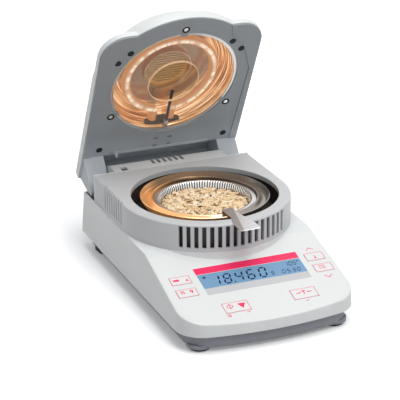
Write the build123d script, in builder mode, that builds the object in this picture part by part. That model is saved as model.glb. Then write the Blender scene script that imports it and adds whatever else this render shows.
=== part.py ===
from build123d import *
import math
import os

os.makedirs("parts", exist_ok=True)

# Halogen moisture analyzer, lid open. Millimetres, +Z up, the control panel faces -Y.
# The origin is on the bench, on the centreline, midway between the front edge and the open lid.
PAN_Y = 4.7

# Casing
CASE_WIDTH = 170.0
FRONT_TO_PAN = 165.7
PAN_TO_REAR = 114.4
CASE_Z = 16.5
DECK_Z = 57.3
CASE_WALL = 2.5
CASE_DRAFT = 3.8
FRONT_BOW_R = 323.0
FRONT_CORNER_R = 27.0
REAR_CORNER_R = 3.5
CASE_EDGE_R = 1.6
PANEL_EDGE_Z = 27.0
PANEL_TILT = 15.7
FRONT_Y = PAN_Y - FRONT_TO_PAN
REAR_Y = PAN_Y + PAN_TO_REAR

# Hinge housing across the back of the casing
HUMP_Z = 84.0
HUMP_HALF = 58.7
HUMP_FRONT = 82.0
HUMP_REAR_R = 15.0
HUMP_RIM = 2.6
HUMP_RIM_HALF = 80.7
POCKET_IN = 59.2
POCKET_OUT = 80.9
POCKET_REAR = 110.2
POCKET_FLOOR = 45.0
POCKET_WALL = 2.2
VENT_NOTCHES = 6
VENT_PITCH = 6.0

# Bay for the connectors in the rear wall
BAY_HALF = 56.0
BAY_LOW_Z = 21.2
BAY_TOP_Z = 43.6
BAY_DEPTH = 4.2
BAY_WALL = 2.5
INLET = (38.0, 28.0, 20.0, 24.0)
SOCKET = (20.0, 10.5, 15.0)
DRAWER = (20.0, 5.5, 18.0)
SERIAL = (-26.0, 18.0, 10.0, 12.0)
CONNECTOR_Z = 32.4
CONNECTOR_LIP = 2.0

# Lid switch in the hinge housing
SWITCH_X = -47.8
SWITCH_SLOT = (6.4, 10.0)
SWITCH_BODY = (12.4, 8.0, 14.0)
SWITCH_Z = 62.0
PEG_Y = 86.5
PEG_R = 1.6
PEG_L = 5.4
PLUNGER_R = 1.4
PLUNGER_TOP_Z = 79.1
PLUNGER_L = 6.0
PLUNGER_TRAVEL = 0.8

# Tray
TRAY_Z = 4.0
TRAY_TOP_Z = 18.5
TRAY_WALL = 2.5
TRAY_SIDE_INSET = 7.5
TRAY_FRONT_INSET = 4.5
TRAY_REAR_INSET = 6.0
FOOT_R = 11.8
FOOT_BOSS_Z = 3.0
FRONT_FOOT = (CASE_WIDTH / 2 - 20.0, 142.5)
REAR_FOOT = (CASE_WIDTH / 2 - 18.0, 89.0)
PAD_R = 9.5
PAD_T = 3.0
PAD_SPIGOT_R = 2.0
WHEEL_R = 12.0
WHEEL_Z = (3.1, 7.8)
WHEEL_TEETH = 24
STUD_R = 3.0
STUD_TOP_Z = 20.0
FOOT_RECESS_R = 13.5
FOOT_RECESS_Z = 8.0

# Chamber frame
CHAMBER_R = 80.8
CHAMBER_REAR = 81.9
CHAMBER_TOP_Z = 83.8
CHAMBER_WALL = 2.5
CHAMBER_ROOF = 2.0
CHAMBER_HOLE_R = 69.7
SKIRT_T = 1.8
SKIRT_DROP = 4.5
SLOT_COUNT = 16
SLOT_SPAN = 76.6
SLOT_W = 3.9
SLOT_Z = 61.0
LOUVRE_COUNT = 8
LOUVRE_PITCH = 6.2
LOUVRE_CENTRE = 30.4
LOUVRE_W = 2.0
LOUVRE_DEPTH = 1.7

# Well, draft shield and weighing parts
WELL_R = 74.5
WELL_T = 2.0
SHIELD_R = 61.0
SHIELD_RIM_Z = 82.6
SHIELD_T = 0.8
SHIELD_LIP_R = 49.8
SHIELD_LIP_Z = 81.4
SHIELD_SEAT_R = 46.9
SHIELD_SEAT_Z = 77.4
SHIELD_FLOOR_Z = 66.5
SHIELD_HOLE_R = 14.0
RING_R = 48.2
RING_BORE_R = 44.7
RING_T = 1.0
HANDLE_X = 2.7
HANDLE_W = 11.0
HANDLE_TAB_W = 19.6
HANDLE_REACH = 100.5
HANDLE_T = 0.8
HANDLE_Z = 84.0
PAN_R = 45.0
PAN_FLOOR_R = 41.0
PAN_FLOOR_Z = 70.0
PAN_RIM_Z = 79.0
PAN_T = 0.3
PAN_FLANGE = 1.4
SAMPLE_DEPTH = 2.4
SAMPLE_CROWN = 1.6
STEM_R = 3.0
STEM_HOLE_R = 5.0
SPIDER_R = 32.0

# Load cell
CELL_W = 20.0
CELL_H = 22.0
CELL_L = 96.0
CELL_TOP_Z = 46.0
CELL_FREE_Y = -9.0
CELL_BORE_R = 6.5
BRACKET_L = 26.0
CELL_SCREW_R = 2.5
STEM_SINK = 8.0
LOAD_TRAVEL = 0.3

# Circuit boards: x, y from the pan, width, length
BOARD_T = 1.6
BOARD_Z = 14.0
BOARD_POST_R = 3.0
BOARD_SCREW_R = 1.2
MAIN_BOARD = (-38.0, 26.0, 44.0, 72.0)
POWER_BOARD = (38.0, 26.0, 44.0, 72.0)
TRANSFORMER = (34.0, 38.0, 26.0)
DISPLAY_POSTS = [(x, s) for s in (38.0, 77.0) for x in (-45.0, 45.0)]
DISPLAY_BOARD_DEPTH = 6.0

# Lid, measured with the lid closed
HINGE_DY = 105.8
HINGE_Z = 66.3
LID_OPEN = 63.0
LID_FACE_Z = 84.9
LID_HALF = 81.2
LID_NOSE_R = 82.5
LID_NOSE_HALF = 46.9
LID_SHOULDER = 68.0
LID_SHOULDER_R = 24.5
LID_PLATE_REAR = 88.0
LID_PLATE_T = 4.0
LID_BORDER_T = 0.8
LID_BAY_Z = 14.0
LID_OPENING_R = 64.2
COVER_LAP = 0.9
COVER_LOW = 0.8
COVER_REAR = 116.5
COVER_TOP = 45.1
COVER_SIDE_Z = 9.0
COVER_CROWN = [(14.0, 30.0), (34.0, 42.0), (41.0, 55.0), (COVER_TOP, 70.0)]
COVER_LEDGE_Z = 6.5
COVER_WALL = 2.4
ARM_OUT = 80.4
ARM_IN = 60.2
ARM_TIP_R = 3.0

# Hinge hardware
PIN_R = 3.0
RUNNING = 0.05
BUSH_R = 5.0
PIN_BOSS_R = 5.0
WASHER_R = 6.0
PIN_INNER = 50.0
PIN_OUTER = 74.0

# Heater
REFLECTOR_DEPTH = 27.0
REFLECTOR_FLAT_R = 49.0
REFLECTOR_T = 1.0
LAMP_RING_R = 44.6
LAMP_DEPTH = 13.5
LAMP_TUBE_R = 4.3
LAMP_LEG_X = 9.5
FILAMENT_R = 1.1
COLLAR_R = 24.4
COLLAR_T = 1.4
GLASS_T = 1.8
GLASS_HOLE_R = 25.4
RING_TRIM_T = 1.2
CLIP_RADIUS = 69.1
CLIP_T = 0.9
PROBE_R = 1.5

# Control panel: x, distance up the slope, width, height
OVERLAY_T = 0.6
KEY_FLANGE_T = 1.2
KEY_TRAVEL = 0.5
KEY_GAP = 0.25
KEY_PROUD = 0.15
KEY_FLANGE = 0.8
PRINT_KEY = (20.4 - CASE_WIDTH / 2, 67.5, 19.4, 11.5)
PERCENT_KEY = (20.1 - CASE_WIDTH / 2, 49.9, 19.4, 11.5)
POWER_KEY = (-29.8, 21.2, 24.4, 13.8)
TARE_KEY = (36.6, 22.8, 24.4, 13.8)
TEMPERATURE_KEY = (CASE_WIDTH / 2 - 17.1, 69.0, 18.4, 11.2)
TIME_KEY = (CASE_WIDTH / 2 - 15.8, 52.3, 18.4, 11.2)
KEYS = {
    "print_key": PRINT_KEY,
    "percent_key": PERCENT_KEY,
    "power_key": POWER_KEY,
    "tare_key": TARE_KEY,
    "temperature_key": TEMPERATURE_KEY,
    "time_key": TIME_KEY,
}
WINDOW = (2.5, 60.7, 101.0, 19.5)
LCD_MARGIN = 2.6
OVERLAY_INSET = 3.6
OVERLAY_REAR = -62.0

# Screws
SCREW_R = 1.5
SCREW_HEAD_R = 3.0
SCREW_HEAD_T = 2.0
CASE_SCREW_X = CASE_WIDTH / 2 - 19.0
CASE_SCREWS = [(i * CASE_SCREW_X, y) for y in (-127.0, -20.0, 64.0) for i in (-1, 1)]
BOSS_R = 4.0
CASE_SCREW_L = 14.0
LID_SCREWS = [(-62.5, -36.0), (62.5, -36.0), (-65.5, 79.0), (65.5, 79.0)]
LID_DIMPLES = [(-51.5, -47.0), (51.5, -47.0)]

# Derived places
PAN = Plane((0, PAN_Y, 0))
HINGE_Y = PAN_Y + HINGE_DY
SLOPE = math.radians(PANEL_TILT)
PANEL = Plane(
    (0, FRONT_Y + 2.6, PANEL_EDGE_Z),
    x_dir=(1, 0, 0),
    z_dir=(0, -math.sin(SLOPE), math.cos(SLOPE)),
)


def swung(y, z):
    """Where a point of the closed lid, given from the hinge axis, is once the lid is open."""
    turn = math.radians(LID_OPEN)
    return (
        y * math.cos(turn) + z * math.sin(turn),
        z * math.cos(turn) - y * math.sin(turn),
    )


LID_DY, LID_DZ = swung(-HINGE_DY, LID_FACE_Z - HINGE_Z)
NORMAL_Y, NORMAL_Z = swung(0, 1)
# Heights above LID run up through the closed lid; its x and y are those from the pan's axis.
LID = Plane((0, HINGE_Y + LID_DY, HINGE_Z + LID_DZ), x_dir=(1, 0, 0), z_dir=(0, NORMAL_Y, NORMAL_Z))
LID_AXIS = Axis(LID.origin, LID.z_dir)


def side_of(plane):
    """The plane's lengthwise section: its x runs back, its y runs up."""
    return Plane(plane.origin, x_dir=plane.y_dir, z_dir=plane.x_dir)


LID_SIDE = side_of(LID)
LID_CROSS = Plane(LID.origin, x_dir=LID.x_dir, z_dir=-LID.y_dir)


def slope_z(y):
    """Height of the casing's top at a distance y along it, chamber and hinge housing apart."""
    return min(DECK_Z, PANEL_EDGE_Z + math.tan(SLOPE) * (y - PANEL.origin.Y))


def case_plan(side, front, rear, bow, front_r, rear_r):
    """A plan with straight sides, a shallow bow across the front and four rounded corners."""
    with BuildSketch() as plan:
        with Locations((0, rear)):
            Rectangle(2 * side, 2 * (rear - front), align=(Align.CENTER, Align.MAX))
        with Locations((0, front + bow)):
            Circle(bow, mode=Mode.INTERSECT)
        fillet(plan.vertices().group_by(Axis.Y)[0], front_r)
        fillet(plan.vertices().group_by(Axis.Y)[-1], rear_r)
    return plan.sketch


def side_profile(wall):
    """Casing seen from the side, set down by a wall: front, sloping panel and deck."""
    reach = CASE_WIDTH
    drop = wall / math.cos(SLOPE)
    front = FRONT_Y - reach
    ramp_end = PANEL.origin.Y + (DECK_Z - wall - PANEL_EDGE_Z + drop) / math.tan(SLOPE)
    with BuildSketch(Plane.YZ) as profile:
        with BuildLine():
            Polyline(
                (front, -reach),
                (front, slope_z(front) - drop),
                (ramp_end, DECK_Z - wall),
                (REAR_Y + reach, DECK_Z - wall),
                (REAR_Y + reach, -reach),
                close=True,
            )
        make_face()
    return profile.sketch


def hump_profile(wall):
    """Hinge housing seen from the side, set in by a wall."""
    with BuildSketch(Plane.YZ) as profile:
        with Locations((PAN_Y + HUMP_FRONT + wall, CASE_Z)):
            Rectangle(
                REAR_Y - PAN_Y - HUMP_FRONT - 2 * wall,
                HUMP_Z - CASE_Z - wall,
                align=(Align.MIN, Align.MIN),
            )
        fillet(profile.vertices().group_by(Axis.Y)[-1].sort_by(Axis.X)[-1], HUMP_REAR_R - wall)
    return profile.sketch


def case_form(wall):
    """The casing's outside, or with a wall its inside, as one solid."""
    with BuildPart() as envelope:
        extrude(side_profile(wall), amount=CASE_WIDTH, both=True)
        extrude(hump_profile(wall), amount=HUMP_HALF - wall, both=True)
    with BuildPart() as form:
        with BuildSketch(Plane.XY.offset(CASE_Z)):
            add(
                case_plan(
                    CASE_WIDTH / 2 - wall,
                    FRONT_Y + wall,
                    REAR_Y - wall,
                    FRONT_BOW_R,
                    FRONT_CORNER_R - wall,
                    REAR_CORNER_R - wall,
                )
            )
        extrude(amount=HUMP_Z - CASE_Z, taper=CASE_DRAFT)
        add(envelope.part, mode=Mode.INTERSECT)
    return form.part


def chamber_plan(inset):
    """The chamber's plan: half a circle in front and straight sides behind."""
    with BuildSketch() as plan:
        with Locations((0, PAN_Y)):
            Circle(CHAMBER_R - inset)
            Rectangle(2 * (CHAMBER_R - inset), CHAMBER_REAR - inset, align=(Align.CENTER, Align.MIN))
    return plan.sketch


def overlay_prism():
    """Upright prism round the panel overlay: short of the casing's edges and of the chamber."""
    with BuildPart() as prism:
        with BuildSketch(Plane.XY):
            add(
                case_plan(
                    CASE_WIDTH / 2 - OVERLAY_INSET - 1.4,
                    FRONT_Y + OVERLAY_INSET,
                    PAN_Y + OVERLAY_REAR,
                    FRONT_BOW_R,
                    FRONT_CORNER_R - OVERLAY_INSET,
                    2.0,
                )
            )
            with Locations((0, PAN_Y)):
                Circle(CHAMBER_R + 2.4, mode=Mode.SUBTRACT)
        extrude(amount=HUMP_Z)
    return prism.part


def panel_slab(low, high):
    """Overlay-shaped slab between two heights over the sloping panel."""
    with BuildPart() as slab:
        with BuildSketch(PANEL.offset(low)):
            Rectangle(2 * CASE_WIDTH, 2 * CASE_WIDTH)
        extrude(amount=high - low)
        add(overlay_prism(), mode=Mode.INTERSECT)
    return slab.part


def tray_plan(inset):
    """The tray's plan."""
    return case_plan(
        CASE_WIDTH / 2 - TRAY_SIDE_INSET - inset,
        FRONT_Y + TRAY_FRONT_INSET + inset,
        REAR_Y - TRAY_REAR_INSET - inset,
        FRONT_BOW_R,
        FRONT_CORNER_R - TRAY_FRONT_INSET - inset,
        max(REAR_CORNER_R + 4.0 - inset, 1.0),
    )


def foot_spots(foot, side):
    """The two places of a pair of feet; side -1 is in front of the pan, 1 behind it."""
    return [(-foot[0], PAN_Y + side * foot[1]), (foot[0], PAN_Y + side * foot[1])]


def board_spots(board):
    """The four fixing holes of a board."""
    x, y, width, length = board
    reach_x, reach_y = width / 2 - 4, length / 2 - 4
    return [(x + i * reach_x, PAN_Y + y + j * reach_y) for i in (-1, 1) for j in (-1, 1)]


def lid_plan(inset):
    """The lid's plan from the pan's axis: a box with front corners and a round nose before it."""
    with BuildSketch() as plan:
        with Locations((0, -LID_SHOULDER + inset)):
            Rectangle(
                2 * (LID_HALF - inset),
                LID_SHOULDER + COVER_REAR - 2 * inset,
                align=(Align.CENTER, Align.MIN),
            )
        fillet(plan.vertices().group_by(Axis.Y)[0], LID_SHOULDER_R - inset)
        with BuildSketch(mode=Mode.PRIVATE) as nose:
            Circle(LID_NOSE_R - inset)
            Rectangle(2 * (LID_NOSE_HALF - inset), 4 * LID_NOSE_R, mode=Mode.INTERSECT)
        add(nose.sketch)
    return plan.sketch


def cover_form(inset):
    """The lid cover's outside, or set in by a wall its inside: a domed drum, boxed to the rear."""
    with BuildSketch() as side:
        with BuildLine():
            Polyline(
                (-2 * LID_NOSE_R, -20.0),
                (-2 * LID_NOSE_R, COVER_TOP),
                (92.0, COVER_TOP),
                (COVER_REAR, 28.0),
                (COVER_REAR, -20.0),
                close=True,
            )
        make_face()
        fillet(side.vertices().group_by(Axis.Y)[-1].sort_by(Axis.X)[-1], 20.0)
        fillet(side.vertices().filter_by(lambda v: abs(v.Y - 28.0) < 0.01), 12.0)
        offset(amount=-inset, mode=Mode.REPLACE)
    with BuildSketch() as drum:
        Circle(LID_NOSE_R + COVER_LAP - inset)
        Rectangle(2 * (LID_HALF + COVER_LAP - inset), 4 * LID_NOSE_R, mode=Mode.INTERSECT)
        Rectangle(
            2 * (LID_HALF + COVER_LAP - inset),
            COVER_REAR + COVER_TOP,
            align=(Align.CENTER, Align.MIN),
        )
    with BuildPart() as form:
        with BuildSketch(LID.offset(COVER_LOW - inset)):
            add(drum.sketch)
        extrude(amount=COVER_SIDE_Z - COVER_LOW)
        low = COVER_SIDE_Z
        for high, slope in COVER_CROWN:
            extrude(form.faces().sort_by(LID_AXIS)[-1], amount=high - low, taper=slope)
            low = high
        with BuildSketch(LID.offset(COVER_LOW - inset)):
            add(lid_plan(inset - COVER_LAP))
        extrude(amount=COVER_LEDGE_Z - COVER_LOW)
        with BuildSketch(LID_SIDE):
            add(side.sketch)
        extrude(amount=2 * LID_HALF, both=True, mode=Mode.INTERSECT)
    return form.part


def screws(plane, spots, radius, length, head_r, head_t):
    """A set of equal screws: shanks along the plane's normal, socket heads behind the plane."""
    with BuildPart() as made:
        with BuildSketch(plane):
            with Locations(spots):
                Circle(radius)
        extrude(amount=length)
        with BuildSketch(plane):
            with Locations(spots):
                Circle(head_r)
        extrude(amount=-head_t)
        with BuildSketch(plane.offset(-head_t)):
            with Locations(spots):
                RegularPolygon(head_r * 0.5, 6)
        extrude(amount=head_t * 0.6, mode=Mode.SUBTRACT)
    return made.part


# Casing: white shell with the sloping panel, the deck, the hinge housing and its pockets
with BuildPart() as top_casing:
    add(case_form(0))
    panel_edges = (
        top_casing.faces()
        .filter_by(lambda face: abs(face.normal_at().dot(PANEL.z_dir)) > 0.9999)
        .edges()
        .filter_by(lambda edge: edge.center().Z < DECK_Z - 2)
    )
    fillet(panel_edges, CASE_EDGE_R)
    with BuildSketch(Plane.XY.offset(CASE_Z + CASE_WALL)):
        add(chamber_plan(-0.6))
    extrude(amount=DECK_Z - CASE_Z - CASE_WALL)
    with BuildSketch(Plane.XY.offset(DECK_Z - 1)):
        with Locations((0, PAN_Y + HUMP_FRONT)):
            Rectangle(2 * HUMP_RIM_HALF, HUMP_RIM, align=(Align.CENTER, Align.MIN))
    extrude(amount=HUMP_Z - DECK_Z + 1)
    add(case_form(CASE_WALL), mode=Mode.SUBTRACT)
    # pockets that the lid's arms swing into
    with BuildSketch(Plane.XY.offset(POCKET_FLOOR - POCKET_WALL)):
        for side in (-1, 1):
            with Locations((side * (POCKET_IN + POCKET_OUT - 1.6) / 2, PAN_Y + HUMP_FRONT)):
                Rectangle(
                    POCKET_OUT - POCKET_IN + POCKET_WALL,
                    POCKET_REAR - HUMP_FRONT + 0.8,
                    align=(Align.CENTER, Align.MIN),
                )
    extrude(amount=DECK_Z - POCKET_FLOOR + POCKET_WALL - 1)
    with BuildSketch(Plane.XY.offset(POCKET_FLOOR)):
        for side in (-1, 1):
            with Locations((side * (POCKET_IN + POCKET_OUT) / 2, PAN_Y + HUMP_FRONT + HUMP_RIM)):
                RectangleRounded(
                    POCKET_OUT - POCKET_IN,
                    POCKET_REAR - HUMP_FRONT - HUMP_RIM,
                    1.5,
                    align=(Align.CENTER, Align.MIN),
                )
    extrude(amount=HUMP_Z, mode=Mode.SUBTRACT)
    # bay for the connectors
    with BuildSketch(Plane.XZ.offset(-(REAR_Y - BAY_DEPTH - BAY_WALL))):
        with Locations((0, (BAY_LOW_Z + BAY_TOP_Z) / 2)):
            Rectangle(2 * BAY_HALF + 2 * BAY_WALL, BAY_TOP_Z - BAY_LOW_Z + 2 * BAY_WALL)
    extrude(amount=-BAY_DEPTH)
    with BuildSketch(Plane.XZ.offset(-(REAR_Y - BAY_DEPTH))):
        with Locations((0, (BAY_LOW_Z + BAY_TOP_Z) / 2)):
            Rectangle(2 * BAY_HALF, BAY_TOP_Z - BAY_LOW_Z)
    extrude(amount=-20, mode=Mode.SUBTRACT)
    with BuildSketch(Plane.XZ.offset(-(REAR_Y - BAY_DEPTH))):
        for x, width, height, depth in (INLET, SERIAL):
            with Locations((x, CONNECTOR_Z)):
                Rectangle(width, height)
    extrude(amount=BAY_WALL + 3, both=True, mode=Mode.SUBTRACT)
    # opening for the stem of the pan support
    with BuildSketch(PAN.offset(DECK_Z - 20)):
        Circle(STEM_HOLE_R)
    extrude(amount=30, mode=Mode.SUBTRACT)
    # shallow steps in the deck beside the louvres
    with BuildSketch(PAN.offset(DECK_Z - 1.2)):
        for side in (-1, 1):
            with Locations((side * (CHAMBER_R + 0.4), 18.0)):
                Rectangle(8, 48, align=(Align.MIN if side > 0 else Align.MAX, Align.CENTER))
    extrude(amount=1.2, mode=Mode.SUBTRACT)
    # hinge pin bosses
    for side in (-1, 1):
        with BuildSketch(Plane.YZ.offset(side * PIN_INNER)):
            with Locations((HINGE_Y, HINGE_Z)):
                Circle(PIN_BOSS_R)
        extrude(amount=side * (HUMP_HALF - PIN_INNER))
    with BuildSketch(Plane.YZ):
        with Locations((HINGE_Y, HINGE_Z)):
            Circle(PIN_R)
    extrude(amount=HUMP_HALF + 1, both=True, mode=Mode.SUBTRACT)
    # lid switch opening, and vent notches along the housing's rear top edge
    with BuildSketch(PAN.offset(HUMP_Z - 5)):
        with Locations((SWITCH_X, HUMP_FRONT + HUMP_RIM)):
            Rectangle(*SWITCH_SLOT, align=(Align.CENTER, Align.MIN))
    extrude(amount=10, mode=Mode.SUBTRACT)
    with BuildSketch(Plane.XY.offset(HUMP_Z - 9)):
        with Locations((0, REAR_Y - HUMP_REAR_R)):
            with GridLocations(VENT_PITCH, 1, VENT_NOTCHES, 1):
                SlotOverall(16, 3.2, rotation=90)
    extrude(amount=10, mode=Mode.SUBTRACT)
    # bosses for the screws that come up through the tray
    for x, y in CASE_SCREWS:
        with BuildSketch(PAN.offset(TRAY_Z + TRAY_WALL)):
            with Locations((x, y)):
                Circle(BOSS_R)
        extrude(amount=slope_z(PAN_Y + y) - TRAY_Z - TRAY_WALL - 1.6)
    with BuildSketch(PAN.offset(TRAY_Z)):
        with Locations(CASE_SCREWS):
            Circle(SCREW_R)
    extrude(amount=CASE_SCREW_L + TRAY_WALL, mode=Mode.SUBTRACT)
    # recess for the overlay, openings for the keys and the display, posts for its board
    add(panel_slab(-OVERLAY_T, 5.0), mode=Mode.SUBTRACT)
    with BuildSketch(PANEL.offset(1)):
        for x, s, width, height in [*KEYS.values(), WINDOW]:
            with Locations((x, s)):
                Rectangle(width, height)
    extrude(amount=-6, mode=Mode.SUBTRACT)
    with BuildSketch(PANEL.offset(-DISPLAY_BOARD_DEPTH)):
        with Locations(DISPLAY_POSTS):
            Circle(BOARD_POST_R)
    extrude(amount=DISPLAY_BOARD_DEPTH - 1.5)
    with BuildSketch(PANEL.offset(-DISPLAY_BOARD_DEPTH)):
        with Locations(DISPLAY_POSTS):
            Circle(BOARD_SCREW_R)
    extrude(amount=4.0, mode=Mode.SUBTRACT)
top_casing.part.label = "top_casing"
export_step(top_casing.part, "parts/top_casing.step")

# Tray: underside with foot bosses, board posts and the two levelling foot sockets
with BuildPart() as bottom_tray:
    with BuildSketch(Plane.XY.offset(TRAY_Z)):
        add(tray_plan(0))
    extrude(amount=TRAY_TOP_Z - TRAY_Z)
    fillet(bottom_tray.edges().group_by(Axis.Z)[0], 2.0)
    with BuildSketch(Plane.XY.offset(TRAY_Z + TRAY_WALL)):
        add(tray_plan(TRAY_WALL))
    extrude(amount=TRAY_TOP_Z, mode=Mode.SUBTRACT)
    with BuildSketch(Plane.XY.offset(FOOT_BOSS_Z)):
        with Locations(foot_spots(FRONT_FOOT, -1)):
            Circle(FOOT_R)
    extrude(amount=TRAY_Z + TRAY_WALL - FOOT_BOSS_Z)
    with BuildSketch(Plane.XY.offset(TRAY_Z + TRAY_WALL - 0.5)):
        with Locations(foot_spots(REAR_FOOT, 1)):
            Circle(FOOT_RECESS_R + TRAY_WALL)
        add(tray_plan(0), mode=Mode.INTERSECT)
    extrude(amount=FOOT_RECESS_Z - TRAY_Z + 0.5)
    with BuildSketch(Plane.XY.offset(TRAY_Z + TRAY_WALL)):
        with Locations(foot_spots(REAR_FOOT, 1)):
            Circle(STUD_R + 4)
    extrude(amount=STUD_TOP_Z - TRAY_Z - TRAY_WALL)
    with BuildSketch(Plane.XY.offset(TRAY_Z)):
        with Locations(foot_spots(REAR_FOOT, 1)):
            Circle(FOOT_RECESS_R)
    extrude(amount=FOOT_RECESS_Z - TRAY_Z, mode=Mode.SUBTRACT)
    with BuildSketch(Plane.XY.offset(TRAY_Z)):
        with Locations(foot_spots(REAR_FOOT, 1)):
            Circle(STUD_R + RUNNING)
    extrude(amount=STUD_TOP_Z, mode=Mode.SUBTRACT)
    with BuildSketch(Plane.XY.offset(TRAY_Z + TRAY_WALL - 0.5)):
        with Locations(board_spots(MAIN_BOARD) + board_spots(POWER_BOARD)):
            Circle(BOARD_POST_R)
    extrude(amount=BOARD_Z - TRAY_Z - TRAY_WALL + 0.5)
    with BuildSketch(Plane.XY.offset(BOARD_Z - 6)):
        with Locations(board_spots(MAIN_BOARD) + board_spots(POWER_BOARD)):
            Circle(BOARD_SCREW_R)
    extrude(amount=7, mode=Mode.SUBTRACT)
    with BuildSketch(PAN.offset(TRAY_Z)):
        with Locations(CASE_SCREWS):
            Circle(SCREW_R)
    extrude(amount=5, mode=Mode.SUBTRACT)
    with BuildSketch(PAN.offset(TRAY_Z)):
        with Locations(CASE_SCREWS):
            Circle(SCREW_HEAD_R)
    extrude(amount=SCREW_HEAD_T, mode=Mode.SUBTRACT)
bottom_tray.part.label = "bottom_tray"
export_step(bottom_tray.part, "parts/bottom_tray.step")

with BuildPart() as casing_screws:
    add(
        screws(
            PAN.offset(TRAY_Z + SCREW_HEAD_T),
            CASE_SCREWS,
            SCREW_R,
            CASE_SCREW_L,
            SCREW_HEAD_R,
            SCREW_HEAD_T,
        )
    )
casing_screws.part.label = "casing_screws"
export_step(casing_screws.part, "parts/casing_screws.step")

# Rubber pads under the front corners
with BuildPart() as front_feet:
    with BuildSketch(Plane.XY):
        with Locations(foot_spots(FRONT_FOOT, -1)):
            Circle(PAD_R)
    extrude(amount=FOOT_BOSS_Z)
    chamfer(front_feet.edges().group_by(Axis.Z)[0], 0.8)
front_feet.part.label = "front_feet"
export_step(front_feet.part, "parts/front_feet.step")

# Rear levelling feet: rubber pad with a spigot, and a knurled wheel with its stud
for side, spot in zip(("left", "right"), foot_spots(REAR_FOOT, 1)):
    with BuildPart() as foot_pad:
        with Locations((*spot, 0)):
            Cylinder(PAD_R, PAD_T, align=(Align.CENTER, Align.CENTER, Align.MIN))
            Cylinder(PAD_SPIGOT_R, PAD_T + 3.0, align=(Align.CENTER, Align.CENTER, Align.MIN))
        chamfer(foot_pad.edges().group_by(Axis.Z)[0], 0.8)
    foot_pad.part.label = f"rear_foot_pad_{side}"
    export_step(foot_pad.part, f"parts/rear_foot_pad_{side}.step")

    with BuildPart() as foot_screw:
        with BuildSketch(Plane((*spot, WHEEL_Z[0]))):
            Circle(WHEEL_R)
            with PolarLocations(WHEEL_R, WHEEL_TEETH):
                Circle(0.7, mode=Mode.SUBTRACT)
        extrude(amount=WHEEL_Z[1] - WHEEL_Z[0])
        with BuildSketch(Plane((*spot, WHEEL_Z[0]))):
            Circle(STUD_R)
        extrude(amount=STUD_TOP_Z - WHEEL_Z[0])
        with BuildSketch(Plane((*spot, WHEEL_Z[0]))):
            Circle(PAD_SPIGOT_R + RUNNING)
        extrude(amount=PAD_T + 3.2 - WHEEL_Z[0], mode=Mode.SUBTRACT)
    foot_screw.part.label = f"rear_foot_screw_{side}"
    export_step(foot_screw.part, f"parts/rear_foot_screw_{side}.step")

# Chamber frame: D-shaped wall with slots round the front, louvre grooves and a skirted hole
with BuildPart() as chamber_frame:
    with BuildSketch(Plane.XY.offset(DECK_Z)):
        add(chamber_plan(0))
    extrude(amount=CHAMBER_TOP_Z - DECK_Z)
    fillet(chamber_frame.edges().group_by(Axis.Z)[-1].sort_by(Axis.Y)[:-1], 1.6)
    with BuildSketch(Plane.XY.offset(DECK_Z)):
        add(chamber_plan(CHAMBER_WALL))
    extrude(amount=CHAMBER_TOP_Z - CHAMBER_ROOF - DECK_Z, mode=Mode.SUBTRACT)
    with BuildSketch(PAN.offset(CHAMBER_TOP_Z - SKIRT_DROP)):
        Circle(CHAMBER_HOLE_R + SKIRT_T)
    extrude(amount=SKIRT_DROP - 0.5)
    with BuildSketch(PAN.offset(DECK_Z)):
        Circle(CHAMBER_HOLE_R)
    extrude(amount=40, mode=Mode.SUBTRACT)
    with BuildSketch(PAN.offset(SLOT_Z)):
        with PolarLocations(
            CHAMBER_R,
            SLOT_COUNT,
            start_angle=-90 - SLOT_SPAN / 2,
            angular_range=SLOT_SPAN,
            endpoint=True,
        ):
            Rectangle(9, SLOT_W)
    extrude(amount=CHAMBER_TOP_Z - CHAMBER_ROOF - SLOT_Z, mode=Mode.SUBTRACT)
    with BuildSketch(PAN.offset(SLOT_Z)):
        for side in (-1, 1):
            with Locations((side * CHAMBER_R, LOUVRE_CENTRE)):
                with GridLocations(1, LOUVRE_PITCH, 1, LOUVRE_COUNT):
                    Rectangle(2 * LOUVRE_DEPTH, LOUVRE_W)
    extrude(amount=40, mode=Mode.SUBTRACT)
chamber_frame.part.label = "chamber_frame"
export_step(chamber_frame.part, "parts/chamber_frame.step")

# Black well inside the chamber frame, with posts under the draft shield and its floor plate
POST_R = 2.5
TROUGH_R = 55.2
TROUGH_Z = 76.8
with BuildPart() as chamber_well:
    with BuildSketch(PAN.offset(DECK_Z)):
        Circle(WELL_R)
    extrude(amount=CHAMBER_TOP_Z - CHAMBER_ROOF - DECK_Z)
    with BuildSketch(PAN.offset(DECK_Z + WELL_T)):
        Circle(WELL_R - WELL_T)
    extrude(amount=40, mode=Mode.SUBTRACT)
    with BuildSketch(PAN.offset(DECK_Z + 1)):
        with PolarLocations(TROUGH_R, 3, start_angle=30):
            Circle(POST_R)
    extrude(amount=TROUGH_Z - SHIELD_T - DECK_Z - 1)
    with BuildSketch(PAN.offset(DECK_Z + 1)):
        with PolarLocations(SHIELD_SEAT_R - 4, 3, start_angle=90):
            Circle(POST_R)
    extrude(amount=SHIELD_FLOOR_Z - SHIELD_T - DECK_Z - 1)
    with BuildSketch(PAN.offset(DECK_Z)):
        Circle(STEM_HOLE_R)
    extrude(amount=10, mode=Mode.SUBTRACT)
chamber_well.part.label = "chamber_well"
export_step(chamber_well.part, "parts/chamber_well.step")

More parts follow.
